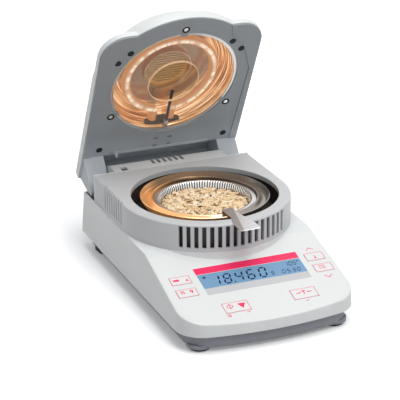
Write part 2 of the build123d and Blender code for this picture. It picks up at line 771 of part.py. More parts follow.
# Draft shield: a thin pressed ring with a trough, a lip, a seat for the pan handler and a wall
with BuildPart() as draft_shield:
    with BuildSketch(side_of(PAN)):
        with BuildLine():
            shield_line = Polyline(
                (SHIELD_R - SHIELD_T / 2, SHIELD_RIM_Z),
                (58.0, TROUGH_Z - SHIELD_T / 2),
                (52.0, TROUGH_Z - SHIELD_T / 2),
                (SHIELD_LIP_R, SHIELD_LIP_Z - SHIELD_T / 2),
                (SHIELD_LIP_R - 0.6, SHIELD_LIP_Z - SHIELD_T / 2),
                (SHIELD_LIP_R - 0.6, SHIELD_SEAT_Z - SHIELD_T / 2),
                (SHIELD_SEAT_R + 0.4, SHIELD_SEAT_Z - SHIELD_T / 2),
                (SHIELD_SEAT_R + 0.4, SHIELD_FLOOR_Z),
            )
        trace(shield_line, SHIELD_T)
    revolve(axis=Axis(PAN.origin, (0, 0, 1)))
draft_shield.part.label = "draft_shield"
export_step(draft_shield.part, "parts/draft_shield.step")

# Floor plate under the pan: the shield's wall stands on it
with BuildPart() as floor_plate:
    with BuildSketch(PAN.offset(SHIELD_FLOOR_Z - SHIELD_T)):
        Circle(SHIELD_SEAT_R + 3.0)
        Circle(SHIELD_HOLE_R, mode=Mode.SUBTRACT)
    extrude(amount=SHIELD_T)
floor_plate.part.label = "floor_plate"
export_step(floor_plate.part, "parts/floor_plate.step")

# Pan handler: seat ring, riser, strip over the rims and a flared finger tab
with BuildPart() as pan_handler:
    with BuildSketch(PAN.offset(SHIELD_SEAT_Z)):
        Circle(RING_R)
        Circle(RING_BORE_R, mode=Mode.SUBTRACT)
    extrude(amount=RING_T)
    with BuildSketch(PAN.offset(SHIELD_SEAT_Z)):
        Circle(RING_R)
        Circle(RING_R - 1.2, mode=Mode.SUBTRACT)
        with Locations((HANDLE_X, -RING_R)):
            Rectangle(HANDLE_W, RING_R, mode=Mode.INTERSECT)
    extrude(amount=HANDLE_Z + HANDLE_T - SHIELD_SEAT_Z)
    with BuildSketch(PAN.offset(HANDLE_Z)):
        with Locations((HANDLE_X, -RING_R + 1.4)):
            Rectangle(HANDLE_W, HANDLE_REACH - 22 - RING_R, align=(Align.CENTER, Align.MAX))
        with BuildLine():
            Polyline(
                (HANDLE_X - HANDLE_W / 2, -69.0),
                (HANDLE_X - HANDLE_TAB_W / 2, -84.0),
                (HANDLE_X - HANDLE_TAB_W / 2, -HANDLE_REACH),
                (HANDLE_X + HANDLE_TAB_W / 2, -HANDLE_REACH),
                (HANDLE_X + HANDLE_TAB_W / 2, -86.0),
                (HANDLE_X + HANDLE_W / 2, -64.0),
                close=True,
            )
        make_face()
        Circle(RING_R - 1.2, mode=Mode.SUBTRACT)
    extrude(amount=HANDLE_T)
    fillet(pan_handler.edges().filter_by(Axis.Z).sort_by(Axis.Y)[0:2], 2.0)
pan_handler.part.label = "pan_handler"
export_step(pan_handler.part, "parts/pan_handler.step")

# Disposable sample pan
with BuildPart() as sample_pan:
    with BuildSketch(side_of(PAN)):
        with BuildLine():
            Polyline(
                (0, PAN_FLOOR_Z),
                (PAN_FLOOR_R, PAN_FLOOR_Z),
                (PAN_R - 0.8, PAN_RIM_Z - PAN_T),
                (PAN_R + PAN_FLANGE, PAN_RIM_Z - PAN_T),
                (PAN_R + PAN_FLANGE, PAN_RIM_Z),
                (PAN_R - 1.1, PAN_RIM_Z),
                (PAN_FLOOR_R - 0.3, PAN_FLOOR_Z + PAN_T),
                (0, PAN_FLOOR_Z + PAN_T),
                close=True,
            )
        make_face()
    revolve(axis=Axis(PAN.origin, (0, 0, 1)))
sample_pan.part.label = "sample_pan"
export_step(sample_pan.part, "parts/sample_pan.step")

# Flakes heaped in the pan
with BuildPart() as oat_sample:
    with BuildSketch(side_of(PAN)):
        with BuildLine():
            Polyline(
                (0, PAN_FLOOR_Z + PAN_T),
                (PAN_FLOOR_R - 0.5, PAN_FLOOR_Z + PAN_T),
                (PAN_FLOOR_R + 0.4, PAN_FLOOR_Z + SAMPLE_DEPTH),
                (30.0, PAN_FLOOR_Z + PAN_T + SAMPLE_DEPTH + 0.6),
                (0, PAN_FLOOR_Z + PAN_T + SAMPLE_DEPTH + SAMPLE_CROWN),
                close=True,
            )
        make_face()
    revolve(axis=Axis(PAN.origin, (0, 0, 1)))
oat_sample.part.label = "oat_sample"
export_step(oat_sample.part, "parts/oat_sample.step")

# Pan support: stem in the load cell, hub, three arms and a ring under the pan
with BuildPart() as pan_support:
    with BuildSketch(PAN.offset(CELL_TOP_Z - STEM_SINK + LOAD_TRAVEL + 0.1)):
        Circle(STEM_R)
    extrude(amount=PAN_FLOOR_Z - CELL_TOP_Z + STEM_SINK - LOAD_TRAVEL - 0.1)
    with BuildSketch(PAN.offset(PAN_FLOOR_Z - 2)):
        Circle(7.0)
        Circle(SPIDER_R)
        Circle(SPIDER_R - 3, mode=Mode.SUBTRACT)
        Circle(7.0)
        with PolarLocations(SPIDER_R / 2, 3, start_angle=90):
            Rectangle(SPIDER_R - 2, 4)
    extrude(amount=2)
pan_support.part.label = "pan_support"
export_step(pan_support.part, "parts/pan_support.step")

# Load cell, its bracket and the screws that join them
CELL_SPOTS = [(0, CELL_FREE_Y + CELL_L - BRACKET_L + 7), (0, CELL_FREE_Y + CELL_L - 7)]
with BuildPart() as load_cell:
    with BuildSketch(PAN.offset(CELL_TOP_Z - CELL_H)):
        with Locations((0, CELL_FREE_Y)):
            Rectangle(CELL_W, CELL_L, align=(Align.CENTER, Align.MIN))
    extrude(amount=CELL_H)
    with BuildSketch(Plane.YZ):
        with Locations((PAN_Y + 36.0, CELL_TOP_Z - CELL_H / 2)):
            with GridLocations(30.0, 1, 2, 1):
                Circle(CELL_BORE_R)
            Rectangle(30.0, 5.0)
    extrude(amount=CELL_W, both=True, mode=Mode.SUBTRACT)
    with BuildSketch(PAN.offset(CELL_TOP_Z - STEM_SINK)):
        Circle(STEM_R + RUNNING)
    extrude(amount=STEM_SINK, mode=Mode.SUBTRACT)
    with BuildSketch(PAN.offset(CELL_TOP_Z - CELL_H)):
        with Locations(CELL_SPOTS):
            Circle(CELL_SCREW_R)
    extrude(amount=CELL_H, mode=Mode.SUBTRACT)
load_cell.part.label = "load_cell"
export_step(load_cell.part, "parts/load_cell.step")

with BuildPart() as load_cell_bracket:
    with BuildSketch(PAN.offset(TRAY_Z + TRAY_WALL)):
        with Locations((0, CELL_FREE_Y + CELL_L)):
            Rectangle(CELL_W + 16, BRACKET_L, align=(Align.CENTER, Align.MAX))
    extrude(amount=6)
    with BuildSketch(PAN.offset(TRAY_Z + TRAY_WALL)):
        with Locations((0, CELL_FREE_Y + CELL_L)):
            Rectangle(CELL_W, BRACKET_L, align=(Align.CENTER, Align.MAX))
    extrude(amount=CELL_TOP_Z - CELL_H - TRAY_Z - TRAY_WALL)
    with BuildSketch(PAN.offset(CELL_TOP_Z - CELL_H - 6)):
        with Locations(CELL_SPOTS):
            Circle(CELL_SCREW_R)
    extrude(amount=6, mode=Mode.SUBTRACT)
load_cell_bracket.part.label = "load_cell_bracket"
export_step(load_cell_bracket.part, "parts/load_cell_bracket.step")

with BuildPart() as load_cell_screws:
    add(
        screws(
            -PAN.offset(CELL_TOP_Z),
            [(x, -y) for x, y in CELL_SPOTS],
            CELL_SCREW_R,
            CELL_H + 5,
            4.2,
            3.0,
        )
    )
load_cell_screws.part.label = "load_cell_screws"
export_step(load_cell_screws.part, "parts/load_cell_screws.step")

# Circuit boards on the tray
with BuildPart() as main_board:
    with BuildSketch(PAN.offset(BOARD_Z)):
        with Locations(MAIN_BOARD[:2]):
            Rectangle(MAIN_BOARD[2], MAIN_BOARD[3])
    extrude(amount=BOARD_T)
    with BuildSketch(PAN.offset(BOARD_Z + BOARD_T)):
        with Locations((MAIN_BOARD[0], MAIN_BOARD[1] + 4)):
            Rectangle(16, 16)
        with Locations((MAIN_BOARD[0] - 8, MAIN_BOARD[1] - 20)):
            Rectangle(10, 6)
        with Locations((MAIN_BOARD[0] + 8, MAIN_BOARD[1] - 20)):
            Rectangle(8, 10)
    extrude(amount=2.2)
    with BuildSketch(Plane.XY.offset(BOARD_Z)):
        with Locations(board_spots(MAIN_BOARD)):
            Circle(BOARD_SCREW_R)
    extrude(amount=5, mode=Mode.SUBTRACT)
main_board.part.label = "main_board"
export_step(main_board.part, "parts/main_board.step")

with BuildPart() as power_board:
    with BuildSketch(PAN.offset(BOARD_Z)):
        with Locations(POWER_BOARD[:2]):
            Rectangle(POWER_BOARD[2], POWER_BOARD[3])
    extrude(amount=BOARD_T)
    with BuildSketch(PAN.offset(BOARD_Z + BOARD_T)):
        with Locations((POWER_BOARD[0], POWER_BOARD[1] + 22)):
            with GridLocations(13.0, 1, 2, 1):
                Circle(5.0)
    extrude(amount=16)
    with BuildSketch(Plane.XY.offset(BOARD_Z)):
        with Locations(board_spots(POWER_BOARD)):
            Circle(BOARD_SCREW_R)
    extrude(amount=5, mode=Mode.SUBTRACT)
power_board.part.label = "power_board"
export_step(power_board.part, "parts/power_board.step")

with BuildPart() as transformer:
    with BuildSketch(PAN.offset(BOARD_Z + BOARD_T)):
        with Locations((POWER_BOARD[0], POWER_BOARD[1] - 8)):
            Rectangle(TRANSFORMER[0], TRANSFORMER[1] - 12)
    extrude(amount=TRANSFORMER[2])
    with BuildSketch(PAN.offset(BOARD_Z + BOARD_T)):
        with Locations((POWER_BOARD[0], POWER_BOARD[1] - 8)):
            Rectangle(TRANSFORMER[0] - 12, TRANSFORMER[1])
    extrude(amount=TRANSFORMER[2] - 6)
    fillet(transformer.edges().filter_by(Axis.Z), 1.5)
transformer.part.label = "transformer"
export_step(transformer.part, "parts/transformer.step")

# Display board behind the panel, the display module and its window
with BuildPart() as display_board:
    with BuildSketch(PANEL.offset(-DISPLAY_BOARD_DEPTH - BOARD_T)):
        with Locations((1.6, 61.6)):
            Rectangle(152.0, 39.0)
        with Locations((3.0, 29.0)):
            Rectangle(92.0, 30.0)
    extrude(amount=BOARD_T)
    with BuildSketch(PANEL.offset(-DISPLAY_BOARD_DEPTH)):
        with Locations([key[:2] for key in KEYS.values()]):
            Rectangle(6.0, 6.0)
    extrude(amount=DISPLAY_BOARD_DEPTH - CASE_WALL - KEY_FLANGE_T - KEY_TRAVEL - 0.1)
    with BuildSketch(PANEL.offset(-DISPLAY_BOARD_DEPTH - BOARD_T)):
        with Locations(DISPLAY_POSTS):
            Circle(BOARD_SCREW_R)
    extrude(amount=BOARD_T, mode=Mode.SUBTRACT)
display_board.part.label = "display_board"
export_step(display_board.part, "parts/display_board.step")

with BuildPart() as lcd_module:
    with BuildSketch(PANEL.offset(-DISPLAY_BOARD_DEPTH)):
        with Locations(WINDOW[:2]):
            Rectangle(WINDOW[2] - 8.0, WINDOW[3] + 2 * LCD_MARGIN)
    extrude(amount=DISPLAY_BOARD_DEPTH - CASE_WALL)
lcd_module.part.label = "lcd_module"
export_step(lcd_module.part, "parts/lcd_module.step")

with BuildPart() as display_window:
    with BuildSketch(PANEL.offset(-CASE_WALL)):
        with Locations(WINDOW[:2]):
            Rectangle(WINDOW[2], WINDOW[3])
    extrude(amount=CASE_WALL)
display_window.part.label = "display_window"
export_step(display_window.part, "parts/display_window.step")

with BuildPart() as board_screws:
    add(
        screws(
            -Plane.XY.offset(BOARD_Z + BOARD_T),
            [(x, -y) for x, y in board_spots(MAIN_BOARD) + board_spots(POWER_BOARD)],
            BOARD_SCREW_R,
            6.0,
            2.4,
            1.6,
        )
    )
    add(
        screws(
            PANEL.offset(-DISPLAY_BOARD_DEPTH - BOARD_T),
            DISPLAY_POSTS,
            BOARD_SCREW_R,
            5.2,
            2.4,
            1.6,
        )
    )
board_screws.part.label = "board_screws"
export_step(board_screws.part, "parts/board_screws.step")

# Panel overlay, flush in its recess
with BuildPart() as panel_overlay:
    add(panel_slab(-OVERLAY_T, 0))
    with BuildSketch(PANEL.offset(1)):
        for x, s, width, height in [*KEYS.values(), WINDOW]:
            with Locations((x, s)):
                Rectangle(width, height)
    extrude(amount=-6, mode=Mode.SUBTRACT)
panel_overlay.part.label = "panel_overlay"
export_step(panel_overlay.part, "parts/panel_overlay.step")

# Keys: caps through the panel with flanges behind it
for name, (x, s, width, height) in KEYS.items():
    with BuildPart() as key:
        with BuildSketch(PANEL.offset(-CASE_WALL - KEY_FLANGE_T)):
            with Locations((x, s)):
                Rectangle(width + 2 * KEY_FLANGE, height + 2 * KEY_FLANGE)
        extrude(amount=KEY_FLANGE_T)
        with BuildSketch(PANEL.offset(-CASE_WALL)):
            with Locations((x, s)):
                Rectangle(width - 2 * KEY_GAP, height - 2 * KEY_GAP)
        extrude(amount=CASE_WALL + KEY_PROUD)
    key.part.label = name
    export_step(key.part, f"parts/{name}.step")

# Connectors in the rear bay
with BuildPart() as ac_inlet:
    with BuildSketch(Plane.XZ.offset(-(REAR_Y - BAY_DEPTH))):
        with Locations((INLET[0], CONNECTOR_Z)):
            Rectangle(INLET[1], INLET[2])
    extrude(amount=INLET[3])
    with BuildSketch(Plane.XZ.offset(-(REAR_Y - BAY_DEPTH))):
        with Locations((INLET[0], CONNECTOR_Z)):
            Rectangle(INLET[1] + 2, INLET[2] + 2)
    extrude(amount=-CONNECTOR_LIP)
    with BuildSketch(Plane.XZ.offset(-(REAR_Y - BAY_DEPTH + CONNECTOR_LIP))):
        with Locations((INLET[0], CONNECTOR_Z + 3.5)):
            Rectangle(SOCKET[0], SOCKET[1])
    extrude(amount=SOCKET[2], mode=Mode.SUBTRACT)
    with BuildSketch(Plane.XZ.offset(-(REAR_Y - BAY_DEPTH + CONNECTOR_LIP))):
        with Locations((INLET[0], CONNECTOR_Z - 6.0)):
            Rectangle(DRAWER[0], DRAWER[1])
    extrude(amount=DRAWER[2], mode=Mode.SUBTRACT)
    with BuildSketch(Plane.XZ.offset(-(REAR_Y - BAY_DEPTH + CONNECTOR_LIP - SOCKET[2]))):
        with Locations((INLET[0] - 6.5, CONNECTOR_Z + 2.5), (INLET[0] + 6.5, CONNECTOR_Z + 2.5)):
            Rectangle(1.4, 3.6)
        with Locations((INLET[0], CONNECTOR_Z + 5.2)):
            Rectangle(1.4, 3.6)
    extrude(amount=-SOCKET[2] + 5.2)
ac_inlet.part.label = "ac_inlet"
export_step(ac_inlet.part, "parts/ac_inlet.step")

with BuildPart() as fuse_drawer:
    with BuildSketch(Plane.XZ.offset(-(REAR_Y - BAY_DEPTH + CONNECTOR_LIP))):
        with Locations((INLET[0], CONNECTOR_Z - 6.0)):
            Rectangle(DRAWER[0] - 0.1, DRAWER[1] - 0.1)
    extrude(amount=DRAWER[2] - 0.2)
    with BuildSketch(Plane.XZ.offset(-(REAR_Y - BAY_DEPTH + CONNECTOR_LIP))):
        with Locations((INLET[0], CONNECTOR_Z - 6.0)):
            Rectangle(8.0, 1.6)
    extrude(amount=1.0, mode=Mode.SUBTRACT)
fuse_drawer.part.label = "fuse_drawer"
export_step(fuse_drawer.part, "parts/fuse_drawer.step")

with BuildPart() as serial_connector:
    with BuildSketch(Plane.XZ.offset(-(REAR_Y - BAY_DEPTH))):
        with Locations((SERIAL[0], CONNECTOR_Z)):
            Rectangle(SERIAL[1], SERIAL[2])
    extrude(amount=SERIAL[3])
    with BuildSketch(Plane.XZ.offset(-(REAR_Y - BAY_DEPTH))):
        with Locations((SERIAL[0], CONNECTOR_Z)):
            Rectangle(SERIAL[1] + 12, SERIAL[2] + 2.5)
    extrude(amount=-1.0)
    with BuildSketch(Plane.XZ.offset(-(REAR_Y - BAY_DEPTH + 1.0))):
        with Locations((SERIAL[0], CONNECTOR_Z)):
            Rectangle(SERIAL[1], SERIAL[2] - 1)
    extrude(amount=-2.4)
    with BuildSketch(Plane.XZ.offset(-(REAR_Y - BAY_DEPTH + 3.4))):
        with Locations((SERIAL[0], CONNECTOR_Z)):
            Rectangle(SERIAL[1] - 1.6, SERIAL[2] - 2.6)
    extrude(amount=5.0, mode=Mode.SUBTRACT)
serial_connector.part.label = "serial_connector"
export_step(serial_connector.part, "parts/serial_connector.step")

# Hinge hardware
with BuildPart() as hinge_pins:
    for side in (-1, 1):
        with BuildSketch(Plane.YZ.offset(side * PIN_INNER)):
            with Locations((HINGE_Y, HINGE_Z)):
                Circle(PIN_R)
        extrude(amount=side * (PIN_OUTER - PIN_INNER))
hinge_pins.part.label = "hinge_pins"
export_step(hinge_pins.part, "parts/hinge_pins.step")

with BuildPart() as hinge_washers:
    for side in (-1, 1):
        with BuildSketch(Plane.YZ.offset(side * HUMP_HALF)):
            with Locations((HINGE_Y, HINGE_Z)):
                Circle(WASHER_R)
                Circle(PIN_R, mode=Mode.SUBTRACT)
        extrude(amount=side * (ARM_IN - HUMP_HALF))
hinge_washers.part.label = "hinge_washers"
export_step(hinge_washers.part, "parts/hinge_washers.step")

with BuildPart() as hinge_bushes:
    for side in (-1, 1):
        with BuildSketch(Plane.YZ.offset(side * ARM_IN)):
            with Locations((HINGE_Y, HINGE_Z)):
                Circle(BUSH_R)
                Circle(PIN_R + RUNNING, mode=Mode.SUBTRACT)
        extrude(amount=side * (PIN_OUTER + 1 - ARM_IN))
hinge_bushes.part.label = "hinge_bushes"
export_step(hinge_bushes.part, "parts/hinge_bushes.step")

# Lid switch with its plunger, and the peg on the lid above it
with BuildPart() as lid_switch:
    with BuildSketch(PAN.offset(SWITCH_Z)):
        with Locations((SWITCH_X, HUMP_FRONT + CASE_WALL)):
            Rectangle(SWITCH_BODY[0], SWITCH_BODY[1], align=(Align.CENTER, Align.MIN))
    extrude(amount=SWITCH_BODY[2])
    with BuildSketch(PAN.offset(PLUNGER_TOP_Z - PLUNGER_L - PLUNGER_TRAVEL - 0.3)):
        with Locations((SWITCH_X, PEG_Y)):
            Circle(PLUNGER_R + RUNNING)
    extrude(amount=20, mode=Mode.SUBTRACT)
lid_switch.part.label = "lid_switch"
export_step(lid_switch.part, "parts/lid_switch.step")

with BuildPart() as switch_plunger:
    with BuildSketch(PAN.offset(PLUNGER_TOP_Z - PLUNGER_L)):
        with Locations((SWITCH_X, PEG_Y)):
            Circle(PLUNGER_R)
    extrude(amount=PLUNGER_L)
switch_plunger.part.label = "switch_plunger"
export_step(switch_plunger.part, "parts/switch_plunger.step")

with BuildPart() as switch_peg:
    with BuildSketch(LID.offset(-PEG_L)):
        with Locations((SWITCH_X, PEG_Y)):
            Circle(PEG_R)
    extrude(amount=PEG_L + 2)
switch_peg.part.label = "switch_peg"
export_step(switch_peg.part, "parts/switch_peg.step")

# Lid frame: face plate, raised border, bay behind the plate and the two hinge arms
CLIP_ANGLES = (-90.0, 30.0, 150.0)
CLIP_SPOTS = [
    (CLIP_RADIUS * math.cos(math.radians(a)), CLIP_RADIUS * math.sin(math.radians(a)))
    for a in CLIP_ANGLES
]
with BuildPart() as lid_frame:
    with BuildSketch(LID):
        add(lid_plan(0))
        with Locations((0, LID_PLATE_REAR)):
            Rectangle(4 * LID_HALF, 60, align=(Align.CENTER, Align.MIN), mode=Mode.SUBTRACT)
    extrude(amount=COVER_LOW)
    with BuildSketch(LID.offset(COVER_LOW)):
        add(lid_plan(COVER_WALL - COVER_LAP + 0.6))
        with Locations((0, LID_PLATE_REAR)):
            Rectangle(4 * LID_HALF, 60, align=(Align.CENTER, Align.MIN), mode=Mode.SUBTRACT)
    extrude(amount=LID_PLATE_T - COVER_LOW)
    # raised border outside the sealing face
    with BuildSketch(LID.offset(-LID_BORDER_T)):
        add(lid_plan(0))
        with Locations((0, LID_PLATE_REAR)):
            Rectangle(4 * LID_HALF, 60, align=(Align.CENTER, Align.MIN), mode=Mode.SUBTRACT)
        with BuildLine():
            Polyline(
                (-46.9, -100.0),
                (-46.9, -68.0),
                (-49.0, -56.0),
                (-63.6, -41.5),
                (-76.0, -9.0),
                (-73.4, 100.0),
                (73.4, 100.0),
                (76.0, -9.0),
                (63.6, -41.5),
                (49.0, -56.0),
                (46.9, -68.0),
                (46.9, -100.0),
                close=True,
            )
        make_face(mode=Mode.SUBTRACT)
    extrude(amount=LID_BORDER_T)
    # hollow behind the plate
    with BuildSketch(LID.offset(COVER_LOW)):
        with Locations((0, LID_PLATE_REAR - 1.5)):
            Rectangle(
                2 * ARM_IN + 2.6,
                COVER_REAR - COVER_WALL - LID_PLATE_REAR + 1.4,
                align=(Align.CENTER, Align.MIN),
            )
    extrude(amount=LID_BAY_Z + 1.5 - COVER_LOW)
    with BuildSketch(LID.offset(-1)):
        with Locations((0, LID_PLATE_REAR)):
            Rectangle(
                2 * ARM_IN,
                COVER_REAR - COVER_WALL - 1.6 - LID_PLATE_REAR,
                align=(Align.CENTER, Align.MIN),
            )
    extrude(amount=LID_BAY_Z + 1, mode=Mode.SUBTRACT)
    # arms
    for side in (-1, 1):
        with BuildSketch(side_of(LID).offset(side * ARM_IN)) as arm:
            with BuildLine():
                Polyline(
                    (88.0, 0.0),
                    (106.1, -36.9),
                    (111.6, -21.0),
                    (115.4, COVER_LOW),
                    (88.0, COVER_LOW),
                    close=True,
                )
            make_face()
            fillet(arm.vertices().group_by(Axis.Y)[0], ARM_TIP_R)
        extrude(amount=side * (ARM_OUT - ARM_IN))
        with BuildSketch(LID.offset(COVER_LOW - 0.2)):
            with Locations((side * ARM_IN, 84.0)):
                Rectangle(
                    LID_HALF - COVER_WALL + COVER_LAP - ARM_IN,
                    COVER_REAR - COVER_WALL - 84.1,
                    align=(Align.MIN if side > 0 else Align.MAX, Align.MIN),
                )
        extrude(amount=LID_PLATE_T - COVER_LOW + 0.2)
        with BuildSketch(Plane.YZ.offset(side * (ARM_IN - 1))):
            with Locations((HINGE_Y, HINGE_Z)):
                Circle(BUSH_R)
        extrude(amount=side * (PIN_OUTER + 2 - ARM_IN), mode=Mode.SUBTRACT)
    # opening, clip recesses and screw holes
    with BuildSketch(LID.offset(-2)):
        Circle(LID_OPENING_R)
    extrude(amount=8, mode=Mode.SUBTRACT)
    with BuildSketch(LID):
        with PolarLocations(66.0, 3, start_angle=-90):
            Rectangle(12.4, 6.4)
    extrude(amount=1.0, mode=Mode.SUBTRACT)
    with BuildSketch(LID):
        with Locations(CLIP_SPOTS):
            Circle(1.2)
        with Locations(LID_SCREWS):
            Circle(SCREW_R)
    extrude(amount=6, mode=Mode.SUBTRACT)
    with BuildSketch(LID.offset(-1)):
        with Locations(LID_SCREWS):
            Circle(SCREW_HEAD_R)
    extrude(amount=3, mode=Mode.SUBTRACT)
    with BuildSketch(LID.offset(-1)):
        with Locations(LID_DIMPLES):
            Circle(2.6)
        with Locations((SWITCH_X, PEG_Y)):
            Circle(PEG_R)
        with Locations((-7.3, 73.6), (7.3, 73.6), (-7.3, 83.6), (7.3, 83.6)):
            Rectangle(5.0, 2.0)
    extrude(amount=3, mode=Mode.SUBTRACT)
lid_frame.part.label = "lid_frame"
export_step(lid_frame.part, "parts/lid_frame.step")

# Lid cover with bosses for the lid screws and vent slots over the heater
with BuildPart() as cover_bosses:
    with BuildSketch(LID.offset(LID_PLATE_T)):
        with Locations(LID_SCREWS):
            Circle(BOSS_R)
    extrude(amount=COVER_TOP)
    add(cover_form(1.0), mode=Mode.INTERSECT)
with BuildPart() as lid_cover:
    add(cover_form(0))
    add(cover_form(COVER_WALL), mode=Mode.SUBTRACT)
    add(cover_bosses.part)
    with BuildSketch(LID.offset(LID_PLATE_T)):
        with Locations(LID_SCREWS):
            Circle(SCREW_R)
    extrude(amount=9, mode=Mode.SUBTRACT)
    with BuildSketch(LID.offset(COVER_TOP - 6)):
        with GridLocations(1, 6.4, 1, 6):
            SlotOverall(36, 2.6)
    extrude(amount=10, mode=Mode.SUBTRACT)
lid_cover.part.label = "lid_cover"
export_step(lid_cover.part, "parts/lid_cover.step")

with BuildPart() as lid_screws:
    add(screws(LID.offset(2.0), LID_SCREWS, SCREW_R, 10.0, SCREW_HEAD_R, 1.6))
lid_screws.part.label = "lid_screws"
export_step(lid_screws.part, "parts/lid_screws.step")

# Heating unit: reflector bowl, central collar with its slatted disc
HOLDER = (40.0, 13.0, 8.2, 19.5)
REFLECTOR_LIP_R = 67.4
HOLDER_Y = 55.0
with BuildPart() as reflector:
    with BuildSketch(LID_SIDE):
        with BuildLine():
            bowl_line = Polyline(
                (REFLECTOR_LIP_R, LID_PLATE_T + REFLECTOR_T / 2),
                (63.4, LID_PLATE_T + REFLECTOR_T / 2),
                (60.0, 12.0),
                (55.5, 20.0),
                (REFLECTOR_FLAT_R, REFLECTOR_DEPTH + REFLECTOR_T / 2),
                (COLLAR_R - COLLAR_T, REFLECTOR_DEPTH + REFLECTOR_T / 2),
            )
        trace(bowl_line, REFLECTOR_T)
    revolve(axis=LID_AXIS)
    with BuildSketch(LID.offset(HOLDER[2])):
        with Locations((0, HOLDER_Y)):
            Rectangle(HOLDER[0], 40, align=(Align.CENTER, Align.MIN))
    extrude(amount=HOLDER[3] - HOLDER[2], mode=Mode.SUBTRACT)
    with BuildSketch(LID_CROSS.offset(-50)):
        with Locations((3.0, 6.5)):
            Circle(PROBE_R)
    extrude(amount=-30, mode=Mode.SUBTRACT)
reflector.part.label = "reflector"
export_step(reflector.part, "parts/reflector.step")

COLLAR_Z = 19.5
VENT_Z = 25.0
with BuildPart() as collar_ring:
    with BuildSketch(LID.offset(COLLAR_Z)):
        Circle(COLLAR_R)
        Circle(COLLAR_R - COLLAR_T, mode=Mode.SUBTRACT)
    extrude(amount=REFLECTOR_DEPTH - COLLAR_Z)
collar_ring.part.label = "collar_ring"
export_step(collar_ring.part, "parts/collar_ring.step")

with BuildPart() as vent_disc:
    with BuildSketch(LID.offset(VENT_Z)):
        Circle(COLLAR_R - COLLAR_T)
        Circle(COLLAR_R - COLLAR_T - 1.8, mode=Mode.SUBTRACT)
    extrude(amount=2.0)
    with BuildSketch(LID.offset(VENT_Z)):
        with GridLocations(1, 3.2, 1, 14):
            Rectangle(60, 1.3)
        Circle(COLLAR_R - COLLAR_T - 0.5, mode=Mode.INTERSECT)
    extrude(amount=1.6)
vent_disc.part.label = "vent_disc"
export_step(vent_disc.part, "parts/vent_disc.step")

# Halogen lamp: bent glass tube with its filament, both ends in a ceramic holder
BEND_R = 6.0
BEND_X = LAMP_LEG_X + BEND_R
BEND_Y = math.sqrt((LAMP_RING_R + BEND_R) ** 2 - BEND_X**2)
JOIN_X = BEND_X * LAMP_RING_R / (LAMP_RING_R + BEND_R)
JOIN_Y = BEND_Y * LAMP_RING_R / (LAMP_RING_R + BEND_R)
BEND_MID = math.radians(180 + math.degrees(math.atan2(BEND_Y, BEND_X)) / 2)
MID_X = BEND_X + BEND_R * math.cos(BEND_MID)
MID_Y = BEND_Y + BEND_R * math.sin(BEND_MID)


def lamp_path(reach):
    """Centre line of the lamp: leg, bend, ring, bend and leg."""
    with BuildLine(LID.offset(LAMP_DEPTH)) as path:
        Line((-LAMP_LEG_X, reach), (-LAMP_LEG_X, BEND_Y))
        ThreePointArc((-LAMP_LEG_X, BEND_Y), (-MID_X, MID_Y), (-JOIN_X, JOIN_Y))
        ThreePointArc((-JOIN_X, JOIN_Y), (0, -LAMP_RING_R), (JOIN_X, JOIN_Y))
        ThreePointArc((JOIN_X, JOIN_Y), (MID_X, MID_Y), (LAMP_LEG_X, BEND_Y))
        Line((LAMP_LEG_X, BEND_Y), (LAMP_LEG_X, reach))
    return path.line


LAMP_REACH = 62.0
with BuildPart() as heater_lamp:
    with BuildSketch(Plane(lamp_path(LAMP_REACH) @ 0, z_dir=lamp_path(LAMP_REACH) % 0)):
        Circle(LAMP_TUBE_R)
        Circle(LAMP_TUBE_R - 0.9, mode=Mode.SUBTRACT)
    sweep(path=lamp_path(LAMP_REACH))
heater_lamp.part.label = "heater_lamp"
export_step(heater_lamp.part, "parts/heater_lamp.step")

with BuildPart() as lamp_filament:
    with BuildSketch(Plane(lamp_path(LAMP_REACH) @ 0, z_dir=lamp_path(LAMP_REACH) % 0)):
        Circle(FILAMENT_R)
    sweep(path=lamp_path(LAMP_REACH))
lamp_filament.part.label = "lamp_filament"
export_step(lamp_filament.part, "parts/lamp_filament.step")

with BuildPart() as lamp_holder:
    with BuildSketch(LID.offset(HOLDER[2])):
        with Locations((0, HOLDER_Y + 3)):
            Rectangle(HOLDER[0] - 4, HOLDER[1] + 2, align=(Align.CENTER, Align.MIN))
    extrude(amount=HOLDER[3] - HOLDER[2])
    with BuildSketch(LID_CROSS.offset(-HOLDER_Y)):
        with Locations((-LAMP_LEG_X, LAMP_DEPTH), (LAMP_LEG_X, LAMP_DEPTH)):
            Circle(LAMP_TUBE_R)
    extrude(amount=-(LAMP_REACH - HOLDER_Y), mode=Mode.SUBTRACT)
lamp_holder.part.label = "lamp_holder"
export_step(lamp_holder.part, "parts/lamp_holder.step")

# Protective glass, its ring, the three clips and their screws
with BuildPart() as protective_glass:
    with BuildSketch(LID.offset(LID_PLATE_T - GLASS_T)):
        Circle(LID_OPENING_R - 0.2)
        Circle(GLASS_HOLE_R, mode=Mode.SUBTRACT)
    extrude(amount=GLASS_T)
protective_glass.part.label = "protective_glass"
export_step(protective_glass.part, "parts/protective_glass.step")

with BuildPart() as glass_ring:
    with BuildSketch(LID.offset(1.0)):
        Circle(LID_OPENING_R - 0.1)
        Circle(LID_OPENING_R - 3.0, mode=Mode.SUBTRACT)
    extrude(amount=RING_TRIM_T)
glass_ring.part.label = "glass_ring"
export_step(glass_ring.part, "parts/glass_ring.step")

with BuildPart() as glass_clips:
    with BuildSketch(LID.offset(1.0 - CLIP_T)):
        with PolarLocations(66.25, 3, start_angle=-90):
            Rectangle(11.5, 6.0)
        with Locations(CLIP_SPOTS):
            Circle(2.0, mode=Mode.SUBTRACT)
    extrude(amount=CLIP_T)
glass_clips.part.label = "glass_clips"
export_step(glass_clips.part, "parts/glass_clips.step")

